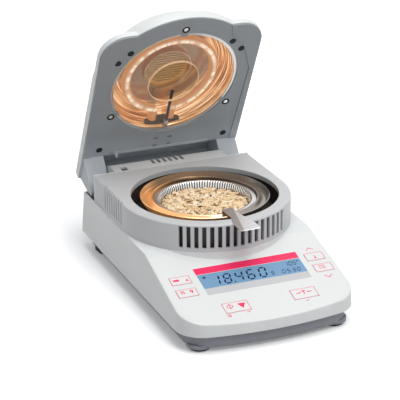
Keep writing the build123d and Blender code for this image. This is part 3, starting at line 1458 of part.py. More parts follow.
with BuildPart() as clip_screws:
    with BuildSketch(LID.offset(1.0 - CLIP_T)):
        with Locations(CLIP_SPOTS):
            Circle(2.0)
            RegularPolygon(1.0, 6, mode=Mode.SUBTRACT)
    extrude(amount=CLIP_T)
    with BuildSketch(LID.offset(0.6)):
        with Locations(CLIP_SPOTS):
            Circle(1.2)
    extrude(amount=3.4)
clip_screws.part.label = "clip_screws"
export_step(clip_screws.part, "parts/clip_screws.step")

with BuildPart() as temperature_probe:
    with BuildSketch(LID_CROSS.offset(-16.5)):
        with Locations((3.0, 6.5)):
            Circle(PROBE_R)
    extrude(amount=-(72.0 - 16.5))
    with BuildSketch(LID.offset(LID_PLATE_T + REFLECTOR_T)):
        with Locations((3.0, 68.0)):
            Rectangle(8.0, 8.0, align=(Align.CENTER, Align.MIN))
    extrude(amount=2.9)
temperature_probe.part.label = "temperature_probe"
export_step(temperature_probe.part, "parts/temperature_probe.step")
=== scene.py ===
# %% [markdown]
# A halogen moisture analyzer: a white bench balance whose lid holds a ring-shaped lamp.
# Its solids come from the CAD frame. This script gives each of them a finish, and builds
# in mesh code what CAD leaves plain: the pleated foil pan, the flakes, the glowing lamp,
# the reflector's polish and the printed panel.

# %% Frame
import math
import random

import bmesh
import bpy
from mathutils import Matrix, Vector


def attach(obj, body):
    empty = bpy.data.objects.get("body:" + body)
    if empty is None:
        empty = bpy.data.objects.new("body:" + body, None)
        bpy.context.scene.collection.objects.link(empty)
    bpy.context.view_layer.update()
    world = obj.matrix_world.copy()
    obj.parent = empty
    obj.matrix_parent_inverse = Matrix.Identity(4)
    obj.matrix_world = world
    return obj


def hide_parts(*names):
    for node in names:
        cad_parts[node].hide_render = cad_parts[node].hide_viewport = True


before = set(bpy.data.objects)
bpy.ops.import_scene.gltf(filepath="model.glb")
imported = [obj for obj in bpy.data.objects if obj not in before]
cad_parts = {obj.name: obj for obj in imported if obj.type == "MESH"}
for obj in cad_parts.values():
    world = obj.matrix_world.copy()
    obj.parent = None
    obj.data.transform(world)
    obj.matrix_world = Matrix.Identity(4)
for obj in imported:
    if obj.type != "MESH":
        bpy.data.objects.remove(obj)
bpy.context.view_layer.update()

# %% [markdown]
# Three places carry nearly everything: the pan's axis, the sloping panel and the open lid.
# Each is kept as a matrix that takes millimetres measured on that place to metres in the
# row frame, so pieces are drawn flat, where they are easy to think about, and moved once.

# %% Places
MM = 0.001
PAN_Y = 4.7
FRONT_Y = PAN_Y - 165.7
HINGE = Vector((0, PAN_Y + 105.8, 66.3))
OPEN = math.radians(63)
SLOPE = math.radians(15.7)


def place(origin, x_axis, y_axis):
    """Matrix from millimetres on a place to metres in the row frame."""
    x, y = Vector(x_axis), Vector(y_axis)
    columns = Matrix((x, y, x.cross(y))).transposed()
    return Matrix.Translation(Vector(origin) * MM) @ (columns * MM).to_4x4()


lid_y = Vector((0, math.cos(OPEN), -math.sin(OPEN)))
lid_up = Vector((0, math.sin(OPEN), math.cos(OPEN)))
AT_PAN = place((0, PAN_Y, 0), (1, 0, 0), (0, 1, 0))
AT_PANEL = place(
    (0, FRONT_Y + 2.6, 27.0), (1, 0, 0), (0, math.cos(SLOPE), math.sin(SLOPE))
)
AT_LID = place(HINGE - 105.8 * lid_y + 18.6 * lid_up, (1, 0, 0), lid_y)
print("lid centre", [round(x, 4) for x in AT_LID.translation])

# %% [markdown]
# The camera stands where the photographer's did, in front and to the left, with a long
# lens. Its place was worked out from points of the object that are known in the CAD.
# The view is Standard, so a colour written below is the colour that shows in plain light.

# %% Camera
scene = bpy.context.scene
camera = bpy.data.objects.new("camera", bpy.data.cameras.new("camera"))
scene.collection.objects.link(camera)
scene.camera = camera
camera.data.lens = 160.4
camera.data.clip_end = 30
camera.location = (-0.5973, -1.4324, 0.6946)
aim = Vector((-0.0096, -0.0067, 0.0820)) - camera.location
camera.rotation_mode = "QUATERNION"
camera.rotation_quaternion = (
    aim.to_track_quat("-Z", "Y") @ Matrix.Rotation(math.radians(-0.31), 4, "Z").to_quaternion()
)
scene.view_settings.view_transform = "Standard"
print("camera is", round(aim.length, 3), "m from its aim")


# %% [markdown]
# Shader sums read best as sums. A small class wraps a socket, so that a mask such as
# 1 - near * far is written as that, and each operator adds its Math node. One method adds
# every other node: it takes the node's type, its settings and what goes into its sockets.

# %% Shader maths
class Sum:
    """A value of a material that can be used in a Python expression."""

    def __init__(self, paint, socket):
        self.paint, self.socket = paint, socket

    def maths(self, operation, *values):
        return self.paint.node("ShaderNodeMath", {"operation": operation}, values)

    def __add__(self, other):
        return self.maths("ADD", self, other)

    def __sub__(self, other):
        return self.maths("SUBTRACT", self, other)

    def __rsub__(self, other):
        return self.maths("SUBTRACT", other, self)

    def __mul__(self, other):
        return self.maths("MULTIPLY", self, other)

    __radd__, __rmul__ = __add__, __mul__


class Paint:
    """One material and the nodes that make it."""

    def __init__(self, name, rough=0.5, metal=0.0, coat=0.0, **sockets):
        self.material = bpy.data.materials.new(name)
        self.material.use_nodes = True
        self.tree = self.material.node_tree
        self.shader = self.tree.nodes["Principled BSDF"]
        self.set("Roughness", rough)
        self.set("Metallic", metal)
        self.set("Coat Weight", coat)
        for socket, value in sockets.items():
            self.set(socket.replace("_", " "), value)

    def set(self, socket, value):
        """Gives one of the shader's sockets a value, or a link."""
        self.fill(self.shader, {socket: value})

    def fill(self, node, values):
        pairs = values.items() if isinstance(values, dict) else enumerate(values)
        for key, value in pairs:
            if isinstance(value, Sum):
                self.tree.links.new(value.socket, node.inputs[key])
            else:
                size = len(node.inputs[key].default_value) if hasattr(value, "__len__") else 0
                filled = tuple(value) + (1.0,) * (size - len(value)) if size else value
                node.inputs[key].default_value = filled

    def node(self, kind, settings=None, values=(), out=0):
        """Adds a node: settings first, then its sockets."""
        made = self.tree.nodes.new(kind)
        for name, value in (settings or {}).items():
            if name == "stops":
                ramp = made.color_ramp.elements
                while len(ramp) < len(value):
                    ramp.new(0.5)
                for stop, (at, colour) in zip(ramp, value):
                    stop.position, stop.color = at, (*colour, 1.0)
            else:
                setattr(made, name, value)
        self.fill(made, values)
        return Sum(self, made.outputs[out])

    def spot(self):
        """The point on the surface, in the row frame."""
        return self.node("ShaderNodeTexCoord", out="Object")

    def along(self, where, axis):
        """Millimetres along one axis of a place."""
        back = where.inverted()
        row = Vector(back[axis][:3])
        settings, values = {"operation": "DOT_PRODUCT"}, [self.spot(), row]
        return self.node("ShaderNodeVectorMath", settings, values, "Value") + back[axis][3]

    def edge(self, value, low, high):
        """Rises smoothly from 0 at low to 1 at high."""
        values = {"Value": value, "From Min": low, "From Max": high}
        return self.node("ShaderNodeMapRange", {"interpolation_type": "SMOOTHSTEP"}, values)

    def noise(self, scale, detail=2.0, vector=None, rough=0.5):
        values = {"Vector": vector or self.spot(), "Scale": scale, "Detail": detail}
        return self.node("ShaderNodeTexNoise", {}, values | {"Roughness": rough})

    def blend(self, share, first, second):
        """Goes from the first colour to the second as share goes from 0 to 1."""
        return self.node("ShaderNodeMix", {"data_type": "RGBA"}, {0: share, 6: first, 7: second}, 2)

    def bump(self, height, distance, strength=1.0):
        """Raises the surface by height times a distance in metres."""
        values = {"Height": height, "Distance": distance, "Strength": strength}
        self.set("Normal", self.node("ShaderNodeBump", {}, values))
        return self


print("paint has", sum(callable(part) for part in vars(Paint).values()), "methods")


# %% [markdown]
# Moulded plastic is never one flat colour: a fine spark-eroded grain breaks its gloss, and
# hands and cleaning leave soft, large clouds in its roughness. One function gives both.
# The lid is the chamber's plastic, but its grey is painted darker, as painted shade, and painted
# lighter towards its hinge, as painted light where the pale chamber throws light up at it.

# %% Moulded plastic
def moulded(name, colour, rough=0.42, grain=0.00003, cloud=0.05, **sockets):
    """Moulded plastic with a fine grain and faint clouds of tone."""
    paint = Paint(name, **sockets)
    clouds = paint.noise(18.0, 3.0)
    darker = [c * (1 - cloud) for c in colour]
    lighter = [min(1.0, c * (1 + cloud)) for c in colour]
    paint.set("Base Color", paint.blend(clouds, darker, lighter))
    paint.set("Roughness", rough - 0.06 + clouds * 0.12)
    paint.bump(paint.noise(2600.0, 2.0), grain)
    return paint


white = moulded("white_plastic", (0.665, 0.68, 0.675))
overlay_white = moulded("overlay_foil", (0.69, 0.70, 0.695), rough=0.34, grain=0.00001, cloud=0.02)
key_white = moulded("key_foil", (0.70, 0.71, 0.705), rough=0.33, grain=0.00001, cloud=0.02)
chamber_grey = moulded("chamber_plastic", (0.52, 0.53, 0.54), rough=0.45)
# Painted shade and light: darker than the chamber's grey, and lighter towards the hinge.
lid_grey = moulded("lid_plastic", (0.27, 0.295, 0.32), rough=0.46)
painted_hinge_light = lid_grey.edge(lid_grey.along(AT_LID, 1), 55.0, 92.0)
lid_clouds = lid_grey.noise(18.0, 3.0)
lid_grey.set("Base Color", lid_grey.blend(
    painted_hinge_light, lid_grey.blend(lid_clouds, (0.26, 0.285, 0.305), (0.285, 0.31, 0.335)),
    lid_grey.blend(lid_clouds, (0.39, 0.42, 0.45), (0.43, 0.465, 0.50)),
))
well_black = moulded("well_plastic", (0.052, 0.041, 0.037), rough=0.5)
tray_grey = moulded("tray_plastic", (0.235, 0.245, 0.275), rough=0.5)
matt_black = moulded("black_plastic", (0.018, 0.014, 0.014), rough=0.5)
rubber = moulded("foot_rubber", (0.02, 0.02, 0.022), rough=0.8)
nylon = moulded("nylon", (0.62, 0.60, 0.55), rough=0.5)
board_green = moulded("board", (0.02, 0.11, 0.045), rough=0.35)
holder_brown = moulded("lamp_socket", (0.075, 0.05, 0.042), rough=0.6)
laminate = moulded("laminate", (0.10, 0.10, 0.11), rough=0.5)


def sheet_metal(name, colour, rough, scratch=0.00001, metal=1.0):
    """Bare metal with fine rolling marks."""
    paint = Paint(name, metal=metal)
    marks = paint.noise(900.0, 4.0)
    paint.set("Base Color", paint.blend(marks, [c * 0.9 for c in colour], colour))
    paint.set("Roughness", rough - 0.05 + marks * 0.1)
    paint.bump(marks, scratch)
    return paint


steel = sheet_metal("pressed_steel", (0.62, 0.61, 0.60), 0.3)
zinc = sheet_metal("zinc", (0.58, 0.58, 0.60), 0.32)
machined = sheet_metal("machined_aluminium", (0.66, 0.67, 0.68), 0.36)
brass = sheet_metal("bush_brass", (0.62, 0.46, 0.18), 0.4)
print("materials so far", len(bpy.data.materials))

# %% [markdown]
# Every CAD node now gets its finish. The table names the finish of each, and a node that a
# piece further down stands for is left out of it.

# %% Finishes of the CAD nodes
FINISHES = {
    white: ["top_casing", "lid_cover"],
    overlay_white: ["panel_overlay"],
    key_white: ["print_key", "percent_key", "power_key", "tare_key", "temperature_key", "time_key"],
    chamber_grey: ["chamber_frame"],
    lid_grey: ["lid_frame", "switch_peg", "glass_clips"],
    tray_grey: ["bottom_tray"],
    matt_black: [
        "ac_inlet", "fuse_drawer", "lid_switch", "temperature_probe",
        "rear_foot_screw_left", "rear_foot_screw_right",
    ],
    well_black: ["chamber_well"],
    rubber: ["front_feet", "rear_foot_pad_left", "rear_foot_pad_right"],
    nylon: ["hinge_washers", "switch_plunger"],
    board_green: ["main_board", "power_board", "display_board"],
    holder_brown: ["lamp_holder"],
    laminate: ["transformer"],
    steel: ["serial_connector", "hinge_pins", "glass_ring", "floor_plate"],
    zinc: ["casing_screws", "load_cell_screws", "board_screws", "lid_screws", "clip_screws"],
    machined: ["pan_support", "load_cell", "load_cell_bracket"],
    brass: ["hinge_bushes"],
}


def dress(name, paint):
    """Gives a CAD node its finish."""
    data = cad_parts[name].data
    data.materials.clear()
    data.materials.append(paint.material)


for paint, names in FINISHES.items():
    for name in names:
        dress(name, paint)
print("finished nodes", sum(len(names) for names in FINISHES.values()))


# %% [markdown]
# New pieces are drawn on their place in millimetres, then moved into the row frame, so the
# object itself stays at the origin. Round pieces are a profile spun about an axis.

# %% Making pieces
def settle(name, mesh, paint, body, where=None, smooth=35):
    """Turns a bmesh drawn in millimetres into a piece that rides on a body."""
    if where is not None:
        bmesh.ops.transform(mesh, matrix=where, verts=mesh.verts)
    data = bpy.data.meshes.new(name)
    mesh.to_mesh(data)
    mesh.free()
    piece = bpy.data.objects.new(name, data)
    scene.collection.objects.link(piece)
    data.materials.append(paint.material)
    for face in data.polygons:
        face.use_smooth = smooth > 0
    if smooth:
        data.set_sharp_from_angle(angle=math.radians(smooth))
    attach(piece, body)
    return piece


def spun(points, steps=128, closed=True):
    """A bmesh of (radius, height) points spun about the height axis."""
    mesh = bmesh.new()
    verts = [mesh.verts.new((max(r, 0.0), 0, z)) for r, z in points]
    pairs = list(zip(verts, verts[1:])) + ([(verts[-1], verts[0])] if closed else [])
    edges = [mesh.edges.new(pair) for pair in pairs]
    bmesh.ops.spin(
        mesh, geom=verts + edges, cent=(0, 0, 0), axis=(0, 0, 1), angle=2 * math.pi, steps=steps,
        use_merge=True,
    )
    bmesh.ops.remove_doubles(mesh, verts=mesh.verts, dist=0.0005)
    bmesh.ops.recalc_face_normals(mesh, faces=mesh.faces)
    return mesh


# %% [markdown]
# No moulding has a knife edge: the mould's corners are rounded by a few tenths, and that is
# where a white casing catches its fine bright lines. A copy of each large moulding is merged
# into one skin, and a bevel rounds its edges, so the CAD solid itself stays as it is.

# %% Soft edges
SOFT = {
    "lid_cover": (white, "lid", 2.5, 6, "casing"),
    "lid_frame": (lid_grey, "lid", 0.5, 25, "lid_grey"),
    "top_casing": (white, "base", 0.8, 25, "casing"),
    "chamber_frame": (chamber_grey, "base", 0.6, 25, "chamber"),
    "bottom_tray": (tray_grey, "base", 0.8, 25, "tray"),
}
for name, (paint, body, width, angle, slot) in SOFT.items():
    skin = bmesh.new()
    skin.from_mesh(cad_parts[name].data)
    bmesh.ops.remove_doubles(skin, verts=skin.verts, dist=0.00001)
    bmesh.ops.dissolve_limit(
        skin, angle_limit=math.radians(1.0), verts=skin.verts, edges=skin.edges
    )
    moulding = settle(name + "_soft", skin, paint, body, None, 30)
    rounding = moulding.modifiers.new("soft_edges", "BEVEL")
    rounding.width, rounding.segments = width * MM, 3
    rounding.limit_method, rounding.angle_limit = "ANGLE", math.radians(angle)
    rounding.harden_normals = True
    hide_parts(name)
    print(name, "skin has", len(moulding.data.polygons), "faces")

# %% [markdown]
# The draft shield is one pressed ring of steel. In CAD it is a traced line; here the same
# line has a rolled outer rim and soft corners, which is where its highlights sit. Its colour
# is painted reflection: golden with the lamp's glow on the left, dark at the back, nearly
# bare on the right, with painted shade on the inner wall.
# The left also gives off a little light, in place of the lamp's light on it.

# %% Draft shield
def walled(line, wall):
    """Closed outline of a pressed sheet: the line and the same line set down by a wall."""
    return line + [(r, z - wall) for r, z in reversed(line)]


def softened_line(line, cut=0.25, rounds=2):
    """Cuts the corners of an open line, keeping its ends."""
    for _ in range(rounds):
        made = [line[0]]
        for (r0, z0), (r1, z1) in zip(line, line[1:]):
            made.append((r0 + cut * (r1 - r0), z0 + cut * (z1 - z0)))
            made.append((r1 - cut * (r1 - r0), z1 - cut * (z1 - z0)))
        line = made + [line[-1]]
    return line


shield_paint = Paint("shield_steel", rough=0.24, metal=0.8)
x, y = (shield_paint.along(AT_PAN, axis) for axis in range(2))
reach = (x * x + y * y).maths("SQRT", x * x + y * y)
# Painted reflection: golden lamp glow on the left, a dark reflection at the back.
left = shield_paint.edge(x * 0.9 - y * 0.35, 42.0, -30.0)
behind = shield_paint.edge(y + x * 0.3, 20.0, 48.0)
painted_reflection_tint = shield_paint.blend(left, (0.36, 0.33, 0.30), (0.86, 0.50, 0.24))
painted_reflection_tint = shield_paint.blend(behind * 0.85, painted_reflection_tint, (0.10, 0.066, 0.042))
lamplit = shield_paint.blend(left * (1 - behind), (0, 0, 0), (0.17, 0.075, 0.022))
shield_paint.set("Emission Color", lamplit)
shield_paint.set("Emission Strength", 1.0)
# Painted shade: the inner wall under the pan's rim goes nearly black.
inner = shield_paint.edge(reach, 49.6, 48.6)
shield_paint.set("Base Color", shield_paint.blend(inner * 0.85, painted_reflection_tint, (0.045, 0.032, 0.026)))
rolled = shield_paint.noise(500.0, 3.0)
shield_paint.set("Roughness", 0.2 + rolled * 0.1 + inner * 0.2)
shield_paint.bump(rolled, 0.00001)
shield_line = [
    (61.0, 82.3), (60.2, 82.9), (58.6, 77.6), (57.0, 76.8), (53.0, 76.8), (50.6, 81.0),
    (49.9, 81.4), (49.2, 80.8), (49.2, 78.0), (48.8, 77.4), (47.8, 77.4), (47.1, 76.7),
    (47.1, 67.2),
]
SHIELD_WALL = 0.6
shield_mesh = spun(walled(softened_line(shield_line, 0.2, 1), SHIELD_WALL), 160)
shield = settle("shield_dish", shield_mesh, shield_paint, "base", AT_PAN, 50)
print("shield has", len(shield.data.polygons), "faces")
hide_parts("draft_shield")

# %% [markdown]
# The disposable pan is pressed from foil, so its wall gathers in fine pleats and its rim is
# rolled over. The pleats are real geometry: each ring of the spun wall is pulled in and out
# as it goes round, not on the floor and not on the rim. A fold hides light, so the tone
# follows the folds too.

# %% Pleated pan
PLEATS, PLEAT_DEPTH = 108, 0.38
pan_line = [
    (0.0, 70.3), (20.0, 70.3), (40.2, 70.3), (41.0, 70.8), (41.6, 72.6), (42.3, 75.0),
    (43.0, 77.2), (43.6, 78.7), (44.5, 79.0), (45.8, 79.0), (46.2, 78.8), (46.1, 78.6),
]
pan_mesh = spun(pan_line, PLEATS * 4, closed=False)
for vert in pan_mesh.verts:
    radius = vert.co.xy.length
    share = min(max((radius - 40.6) / 1.4, 0.0), 1.0) * min(max((44.6 - radius) / 0.8, 0.0), 1.0)
    if share > 0:
        wave = math.sin(PLEATS * math.atan2(vert.co.y, vert.co.x))
        vert.co.xy *= 1 + PLEAT_DEPTH * share * wave / radius
foil = Paint("pan_foil", metal=1.0)
x, y, z = (foil.along(AT_PAN, axis) for axis in range(3))
turn = x.maths("ARCTAN2", y, x)
fold = turn.maths("SINE", turn * PLEATS) * 0.5 + 0.5
on_wall = foil.edge(z, 70.8, 71.6) * foil.edge(z, 78.9, 78.5)
shaded = on_wall * foil.edge(fold, 0.35, 0.75)
foil.set("Base Color", foil.blend(shaded, (0.88, 0.88, 0.86), (0.10, 0.10, 0.10)))
foil.set("Roughness", 0.2 + foil.noise(700.0) * 0.12)
pan = settle("foil_pan", pan_mesh, foil, "pan", AT_PAN, 60)
thick = pan.modifiers.new("foil_thickness", "SOLIDIFY")
thick.thickness, thick.offset = 0.00015, 0
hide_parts("sample_pan")
print("pan has", PLEATS, "pleats and", len(pan.data.polygons), "faces")

# %% [markdown]
# The sample is rolled oats. Each flake is a small irregular disc, cupped and frayed at its
# edge, and several hundred of them lie at all tilts on a low heap, so that the light finds
# gaps between them. A tone kept in an attribute makes each flake a little different.

# %% Oat flakes
oats = Paint("oat_flake", rough=0.8)
tone = oats.node("ShaderNodeAttribute", {"attribute_name": "tone"}, out="Fac")
grain_of_flake = oats.noise(1400.0, 3.0)
warm = oats.node(
    "ShaderNodeValToRGB",
    {"stops": [(0.0, (0.20, 0.10, 0.035)), (0.16, (0.52, 0.32, 0.14)), (0.4, (0.76, 0.55, 0.31)),
               (0.7, (0.85, 0.69, 0.47)), (1.0, (0.95, 0.87, 0.74))]},
    [tone * 0.8 + grain_of_flake * 0.2],
)
oats.set("Base Color", warm)
oats.bump(grain_of_flake, 0.0002)
rng = random.Random(11)
SPREAD, HANDFULS, IN_A_HANDFUL = 39.6, 30, 36


def heap_height(radius):
    """Top of the heap, in millimetres."""
    return 72.3 + 1.5 * (1 - (radius / 42.0) ** 2)


def add_flake(mesh, layer):
    """Adds one flake, lying somewhere on the heap."""
    made = bmesh.ops.create_circle(
        mesh, cap_ends=True, cap_tris=True, segments=9, radius=1.0
    )["verts"]
    size, stretch = rng.uniform(1.5, 3.3), rng.uniform(0.6, 0.95)
    flake_tone = min(1.0, max(0.0, rng.gauss(0.62, 0.22)))
    if rng.random() < 0.06:
        flake_tone, size = rng.uniform(0.0, 0.08), size * 0.5
    cup = rng.uniform(-0.2, 0.3) * size
    for vert in made:
        ray = vert.co.xy.length
        vert.co = vert.co * size * (rng.uniform(0.78, 1.1) if ray > 0.5 else 1.0)
        vert.co.y *= stretch
        vert.co.z = cup * ray * ray * 0.5
    faces = {face for vert in made for face in vert.link_faces}
    grown = bmesh.ops.extrude_face_region(mesh, geom=list(faces))["geom"]
    lifted = [item for item in grown if isinstance(item, bmesh.types.BMVert)]
    bmesh.ops.translate(mesh, vec=(0, 0, rng.uniform(0.35, 0.6)), verts=lifted)
    angle, radius = rng.uniform(0, 2 * math.pi), SPREAD * math.sqrt(rng.random())
    tilt = Matrix.Rotation(rng.gauss(0, 0.36), 4, "X") @ Matrix.Rotation(rng.gauss(0, 0.36), 4, "Y")
    turn = Matrix.Rotation(rng.uniform(0, 6.28), 4, "Z")
    spot = Vector((radius * math.cos(angle), radius * math.sin(angle), heap_height(radius)))
    spot.z += rng.uniform(-0.8, 0.6)
    bmesh.ops.transform(mesh, matrix=Matrix.Translation(spot) @ turn @ tilt, verts=made + lifted)
    for vert in made + lifted:
        vert[layer] = flake_tone


flakes = bmesh.new()
for _ in range(HANDFULS):
    handful = bmesh.new()
    layer = handful.verts.layers.float.new("tone")
    for _ in range(IN_A_HANDFUL):
        add_flake(handful, layer)
    kept = bpy.data.meshes.new("handful")
    handful.to_mesh(kept)
    handful.free()
    flakes.from_mesh(kept)
    bpy.data.meshes.remove(kept)
for vert in flakes.verts:
    limit = 40.3 + 0.36 * (vert.co.z - 70.3)
    if vert.co.xy.length > limit:
        vert.co.xy *= limit / vert.co.xy.length
    vert.co.z = max(vert.co.z, 70.5)
bmesh.ops.recalc_face_normals(flakes, faces=flakes.faces)
heap = settle("oat_flakes", flakes, oats, "pan", AT_PAN, 30)
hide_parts("oat_sample")
# A darker bed lies under the flakes: partly oat dust, partly painted shade between the flakes.
bed_points = [(0, 70.4), (40.2, 70.4), (40.9, 71.6)]
bed_points += [(r, heap_height(r) - 0.8) for r in (38.0, 30.0, 20.0, 10.0, 0)]
oat_bed_dust_and_shade = moulded("oat_bed_dust_and_shade_paint", (0.42, 0.27, 0.13), 0.9)
bed = settle("oat_bed", spun(bed_points, 96), oat_bed_dust_and_shade, "pan", AT_PAN, 60)
print("flakes", len(heap.data.polygons), "faces")

# %% [markdown]
# The lid's heating unit glows. Its bowl is polished metal that multiplies the lamp into
# bright arcs, which a small lamp would render as noise. So the bowl keeps its gloss and
# also gives off a little light of its own, in rings that follow its curve.

# %% Heater finishes
def ring_sockets(paint):
    """Radius and turn about the lid's axis, and the height above the lid's inner face."""
    x, y, z = (paint.along(AT_LID, axis) for axis in range(3))
    radius = (x * x + y * y).maths("SQRT", x * x + y * y)
    turn = x.maths("ARCTAN2", y, x)
    return radius, turn, z


bowl_paint = Paint("reflector_polish", rough=0.2, metal=1.0)
radius, turn, height = ring_sockets(bowl_paint)
rings = bowl_paint.node("ShaderNodeCombineXYZ", {}, [radius, turn * 1.3, height * 0.8])
# Painted reflection: the lamp's bright arcs in the bowl, given off as light of its own.
painted_reflection_arcs = bowl_paint.noise(1.0, 3.0, rings, 0.6)
glow = bowl_paint.node(
    "ShaderNodeValToRGB",
    {"stops": [(0.36, (0.018, 0.007, 0.003)), (0.44, (0.16, 0.062, 0.02)),
               (0.50, (0.42, 0.18, 0.06)), (0.57, (0.80, 0.43, 0.17)), (0.66, (1.0, 0.86, 0.62))]},
    [painted_reflection_arcs],
)
wall = bowl_paint.edge(radius, 44.0, 50.0)
bowl_paint.set("Base Color", bowl_paint.blend(wall, (0.26, 0.18, 0.13), (0.46, 0.29, 0.16)))
bowl_paint.set("Emission Color", bowl_paint.blend(wall, (0.20, 0.11, 0.062), glow))
bowl_paint.set("Emission Strength", 0.75)

tube_paint = Paint("lamp_glass", rough=0.08, coat=0.5, Base_Color=(0.16, 0.09, 0.05))
radius, turn, height = ring_sockets(tube_paint)
LAMP_RADIUS, MARKS = 44.6, 24
off_centre = (radius - LAMP_RADIUS).maths("ABSOLUTE", radius - LAMP_RADIUS)
core = 1 - tube_paint.edge(off_centre, 0.5, 2.9)
mark = (turn * (MARKS / 2)).maths("SINE", turn * (MARKS / 2))
mark = 1 - tube_paint.edge(mark.maths("ABSOLUTE", mark), 0.06, 0.22)
round_tube = tube_paint.node("ShaderNodeCombineXYZ", {}, [turn * 4.0, 3.0, 1.0])
segments = tube_paint.noise(1.0, 1.0, round_tube)
hot = core * (0.3 + tube_paint.edge(segments, 0.38, 0.58) * 0.7) * (1 - mark * 0.75)
tube_paint.set("Emission Color", tube_paint.blend(hot, (0.46, 0.18, 0.055), (1.0, 0.86, 0.64)))
tube_paint.set("Emission Strength", 0.95)
wire_paint = Paint(
    "filament_wire", rough=0.4, Emission_Color=(1.0, 0.85, 0.55), Emission_Strength=3.0
)
print("lamp radius", LAMP_RADIUS, "mm, with", MARKS, "marks round it")

# %% [markdown]
# The bowl and the glass are spun about the lid's axis; the collar round the central vent keeps
# its CAD shape and gets its finish. The glass is thin and nearly clear, so it is drawn mostly by
# its polished edges.

# %% Heater pieces
bowl_line = softened_line(
    [(67.2, 5.0), (63.6, 5.0), (62.4, 9.0), (60.0, 14.0), (55.5, 21.0), (50.0, 27.0), (22.6, 27.0)]
)
bowl_outline = bowl_line + [(r + 0.35, z + 0.75) for r, z in reversed(bowl_line)]
bowl = settle("reflector_bowl", spun(bowl_outline, 160), bowl_paint, "lid", AT_LID, 50)
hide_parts("reflector")

glass_paint = Paint("heatproof_glass", rough=0.02, Base_Color=(0.96, 0.93, 0.90), Alpha=0.05)
glass_paint.material.surface_render_method = "BLENDED"
# Painted glow: the glass's bore edge gives off a little light, standing for the lamp's light caught
# in it.
glass_edge_glow = Paint(
    "glass_edge_glow", rough=0.15, Base_Color=(0.75, 0.52, 0.34), Emission_Color=(1.0, 0.66, 0.36),
    Emission_Strength=0.2,
)
pane = [(25.4, 2.3), (25.9, 2.2), (63.5, 2.2), (64.0, 2.4)]
pane += [(64.0, 3.8), (63.5, 4.0), (25.9, 4.0), (25.4, 3.8)]
glass = settle("heater_glass", spun(pane, 128), glass_paint, "lid", AT_LID, 50)
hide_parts("protective_glass")
lip = [(25.3, 2.1), (25.8, 2.1), (25.8, 4.1), (25.3, 4.1)]
settle("glass_bore_edge", spun(lip, 96), glass_edge_glow, "lid", AT_LID, 50)

collar_paint = sheet_metal("collar_steel", (0.72, 0.52, 0.36), 0.3)
vent_paint = sheet_metal("vent_steel", (0.46, 0.33, 0.20), 0.45)
# Painted glow: the vent disc gives off a little light, standing for the lamp's light on it.
vent_paint.set("Emission Color", (0.15, 0.08, 0.03))
vent_paint.set("Emission Strength", 1.0)
for name, paint in (
    ("collar_ring", collar_paint), ("vent_disc", vent_paint), ("heater_lamp", tube_paint),
    ("lamp_filament", wire_paint),
):
    dress(name, paint)
print("bowl has", len(bowl.data.polygons), "faces")

# %% [markdown]
# Round the heater the lid carries small trim that gives it scale. The clip screws' sockets and
# the deep holes of the lid's own screws and of its dimples are near-black discs, painted shade;
# two thin ribs stiffen the shoulders and a strip runs along the edge at the hinge, both painted
# pale as painted highlight; and a pale sleeve holds the probe.

# %% Lid trim
def bar(mesh, corners, low, high):
    """Adds a thin prism over a polygon given in millimetres on a place."""
    face = mesh.faces.new([mesh.verts.new((x, y, low)) for x, y in corners])
    grown = bmesh.ops.extrude_face_region(mesh, geom=[face])["geom"]
    top = [item for item in grown if isinstance(item, bmesh.types.BMVert)]
    bmesh.ops.translate(mesh, vec=(0, 0, high - low), verts=top)


def stroke(mesh, points, line, low, high):
    """Adds a thin line of some width along points."""
    for (x0, y0), (x1, y1) in zip(points, points[1:]):
        along = Vector((x1 - x0, y1 - y0)).normalized() * (line / 2)
        side = Vector((-along.y, along.x))
        ends = [Vector((x0, y0)) - along, Vector((x1, y1)) + along]
        bar(mesh, [ends[0] - side, ends[1] - side, ends[1] + side, ends[0] + side], low, high)


def discs(name, spots, profile, paint):
    """The same spun profile at several spots of the lid's inner face, as one piece."""
    mesh = bmesh.new()
    for x, y in spots:
        one = spun(profile, 28)
        bmesh.ops.translate(one, vec=(x, y, 0), verts=one.verts)
        kept = bpy.data.meshes.new("one")
        one.to_mesh(kept)
        one.free()
        mesh.from_mesh(kept)
        bpy.data.meshes.remove(kept)
    settle(name, mesh, paint, "lid", AT_LID, 40)


LID_SCREWS = [(-62.5, -36.0), (62.5, -36.0), (-65.5, 79.0), (65.5, 79.0)]
DIMPLES = [(-51.5, -47.0), (51.5, -47.0)]
CLIP_TURNS = [math.radians(turn) for turn in (-90, 30, 150)]
CLIP_SCREWS = [(69.1 * math.cos(turn), 69.1 * math.sin(turn)) for turn in CLIP_TURNS]
# Painted shade: near-black discs over the screw holes, the dimples and round the clip screws.
painted_hole_shade = moulded("painted_hole_shade", (0.004, 0.004, 0.005), rough=0.9, grain=0.0)
hole = [(0, -0.06), (3.3, -0.06), (3.3, 0.1), (0, 0.1)]
discs("lid_screw_holes", LID_SCREWS + DIMPLES, hole, painted_hole_shade)
socket = [(2.1, -0.06), (3.9, -0.06), (3.9, 0.08), (2.1, 0.08)]
discs("clip_sockets", CLIP_SCREWS, socket, painted_hole_shade)
bright_zinc = sheet_metal("bright_zinc", (0.80, 0.81, 0.82), 0.3)
head = [(0, -0.05), (1.3, -0.04), (2.0, 0.05), (0, 0.08)]
discs("clip_screw_heads", CLIP_SCREWS, head, bright_zinc)
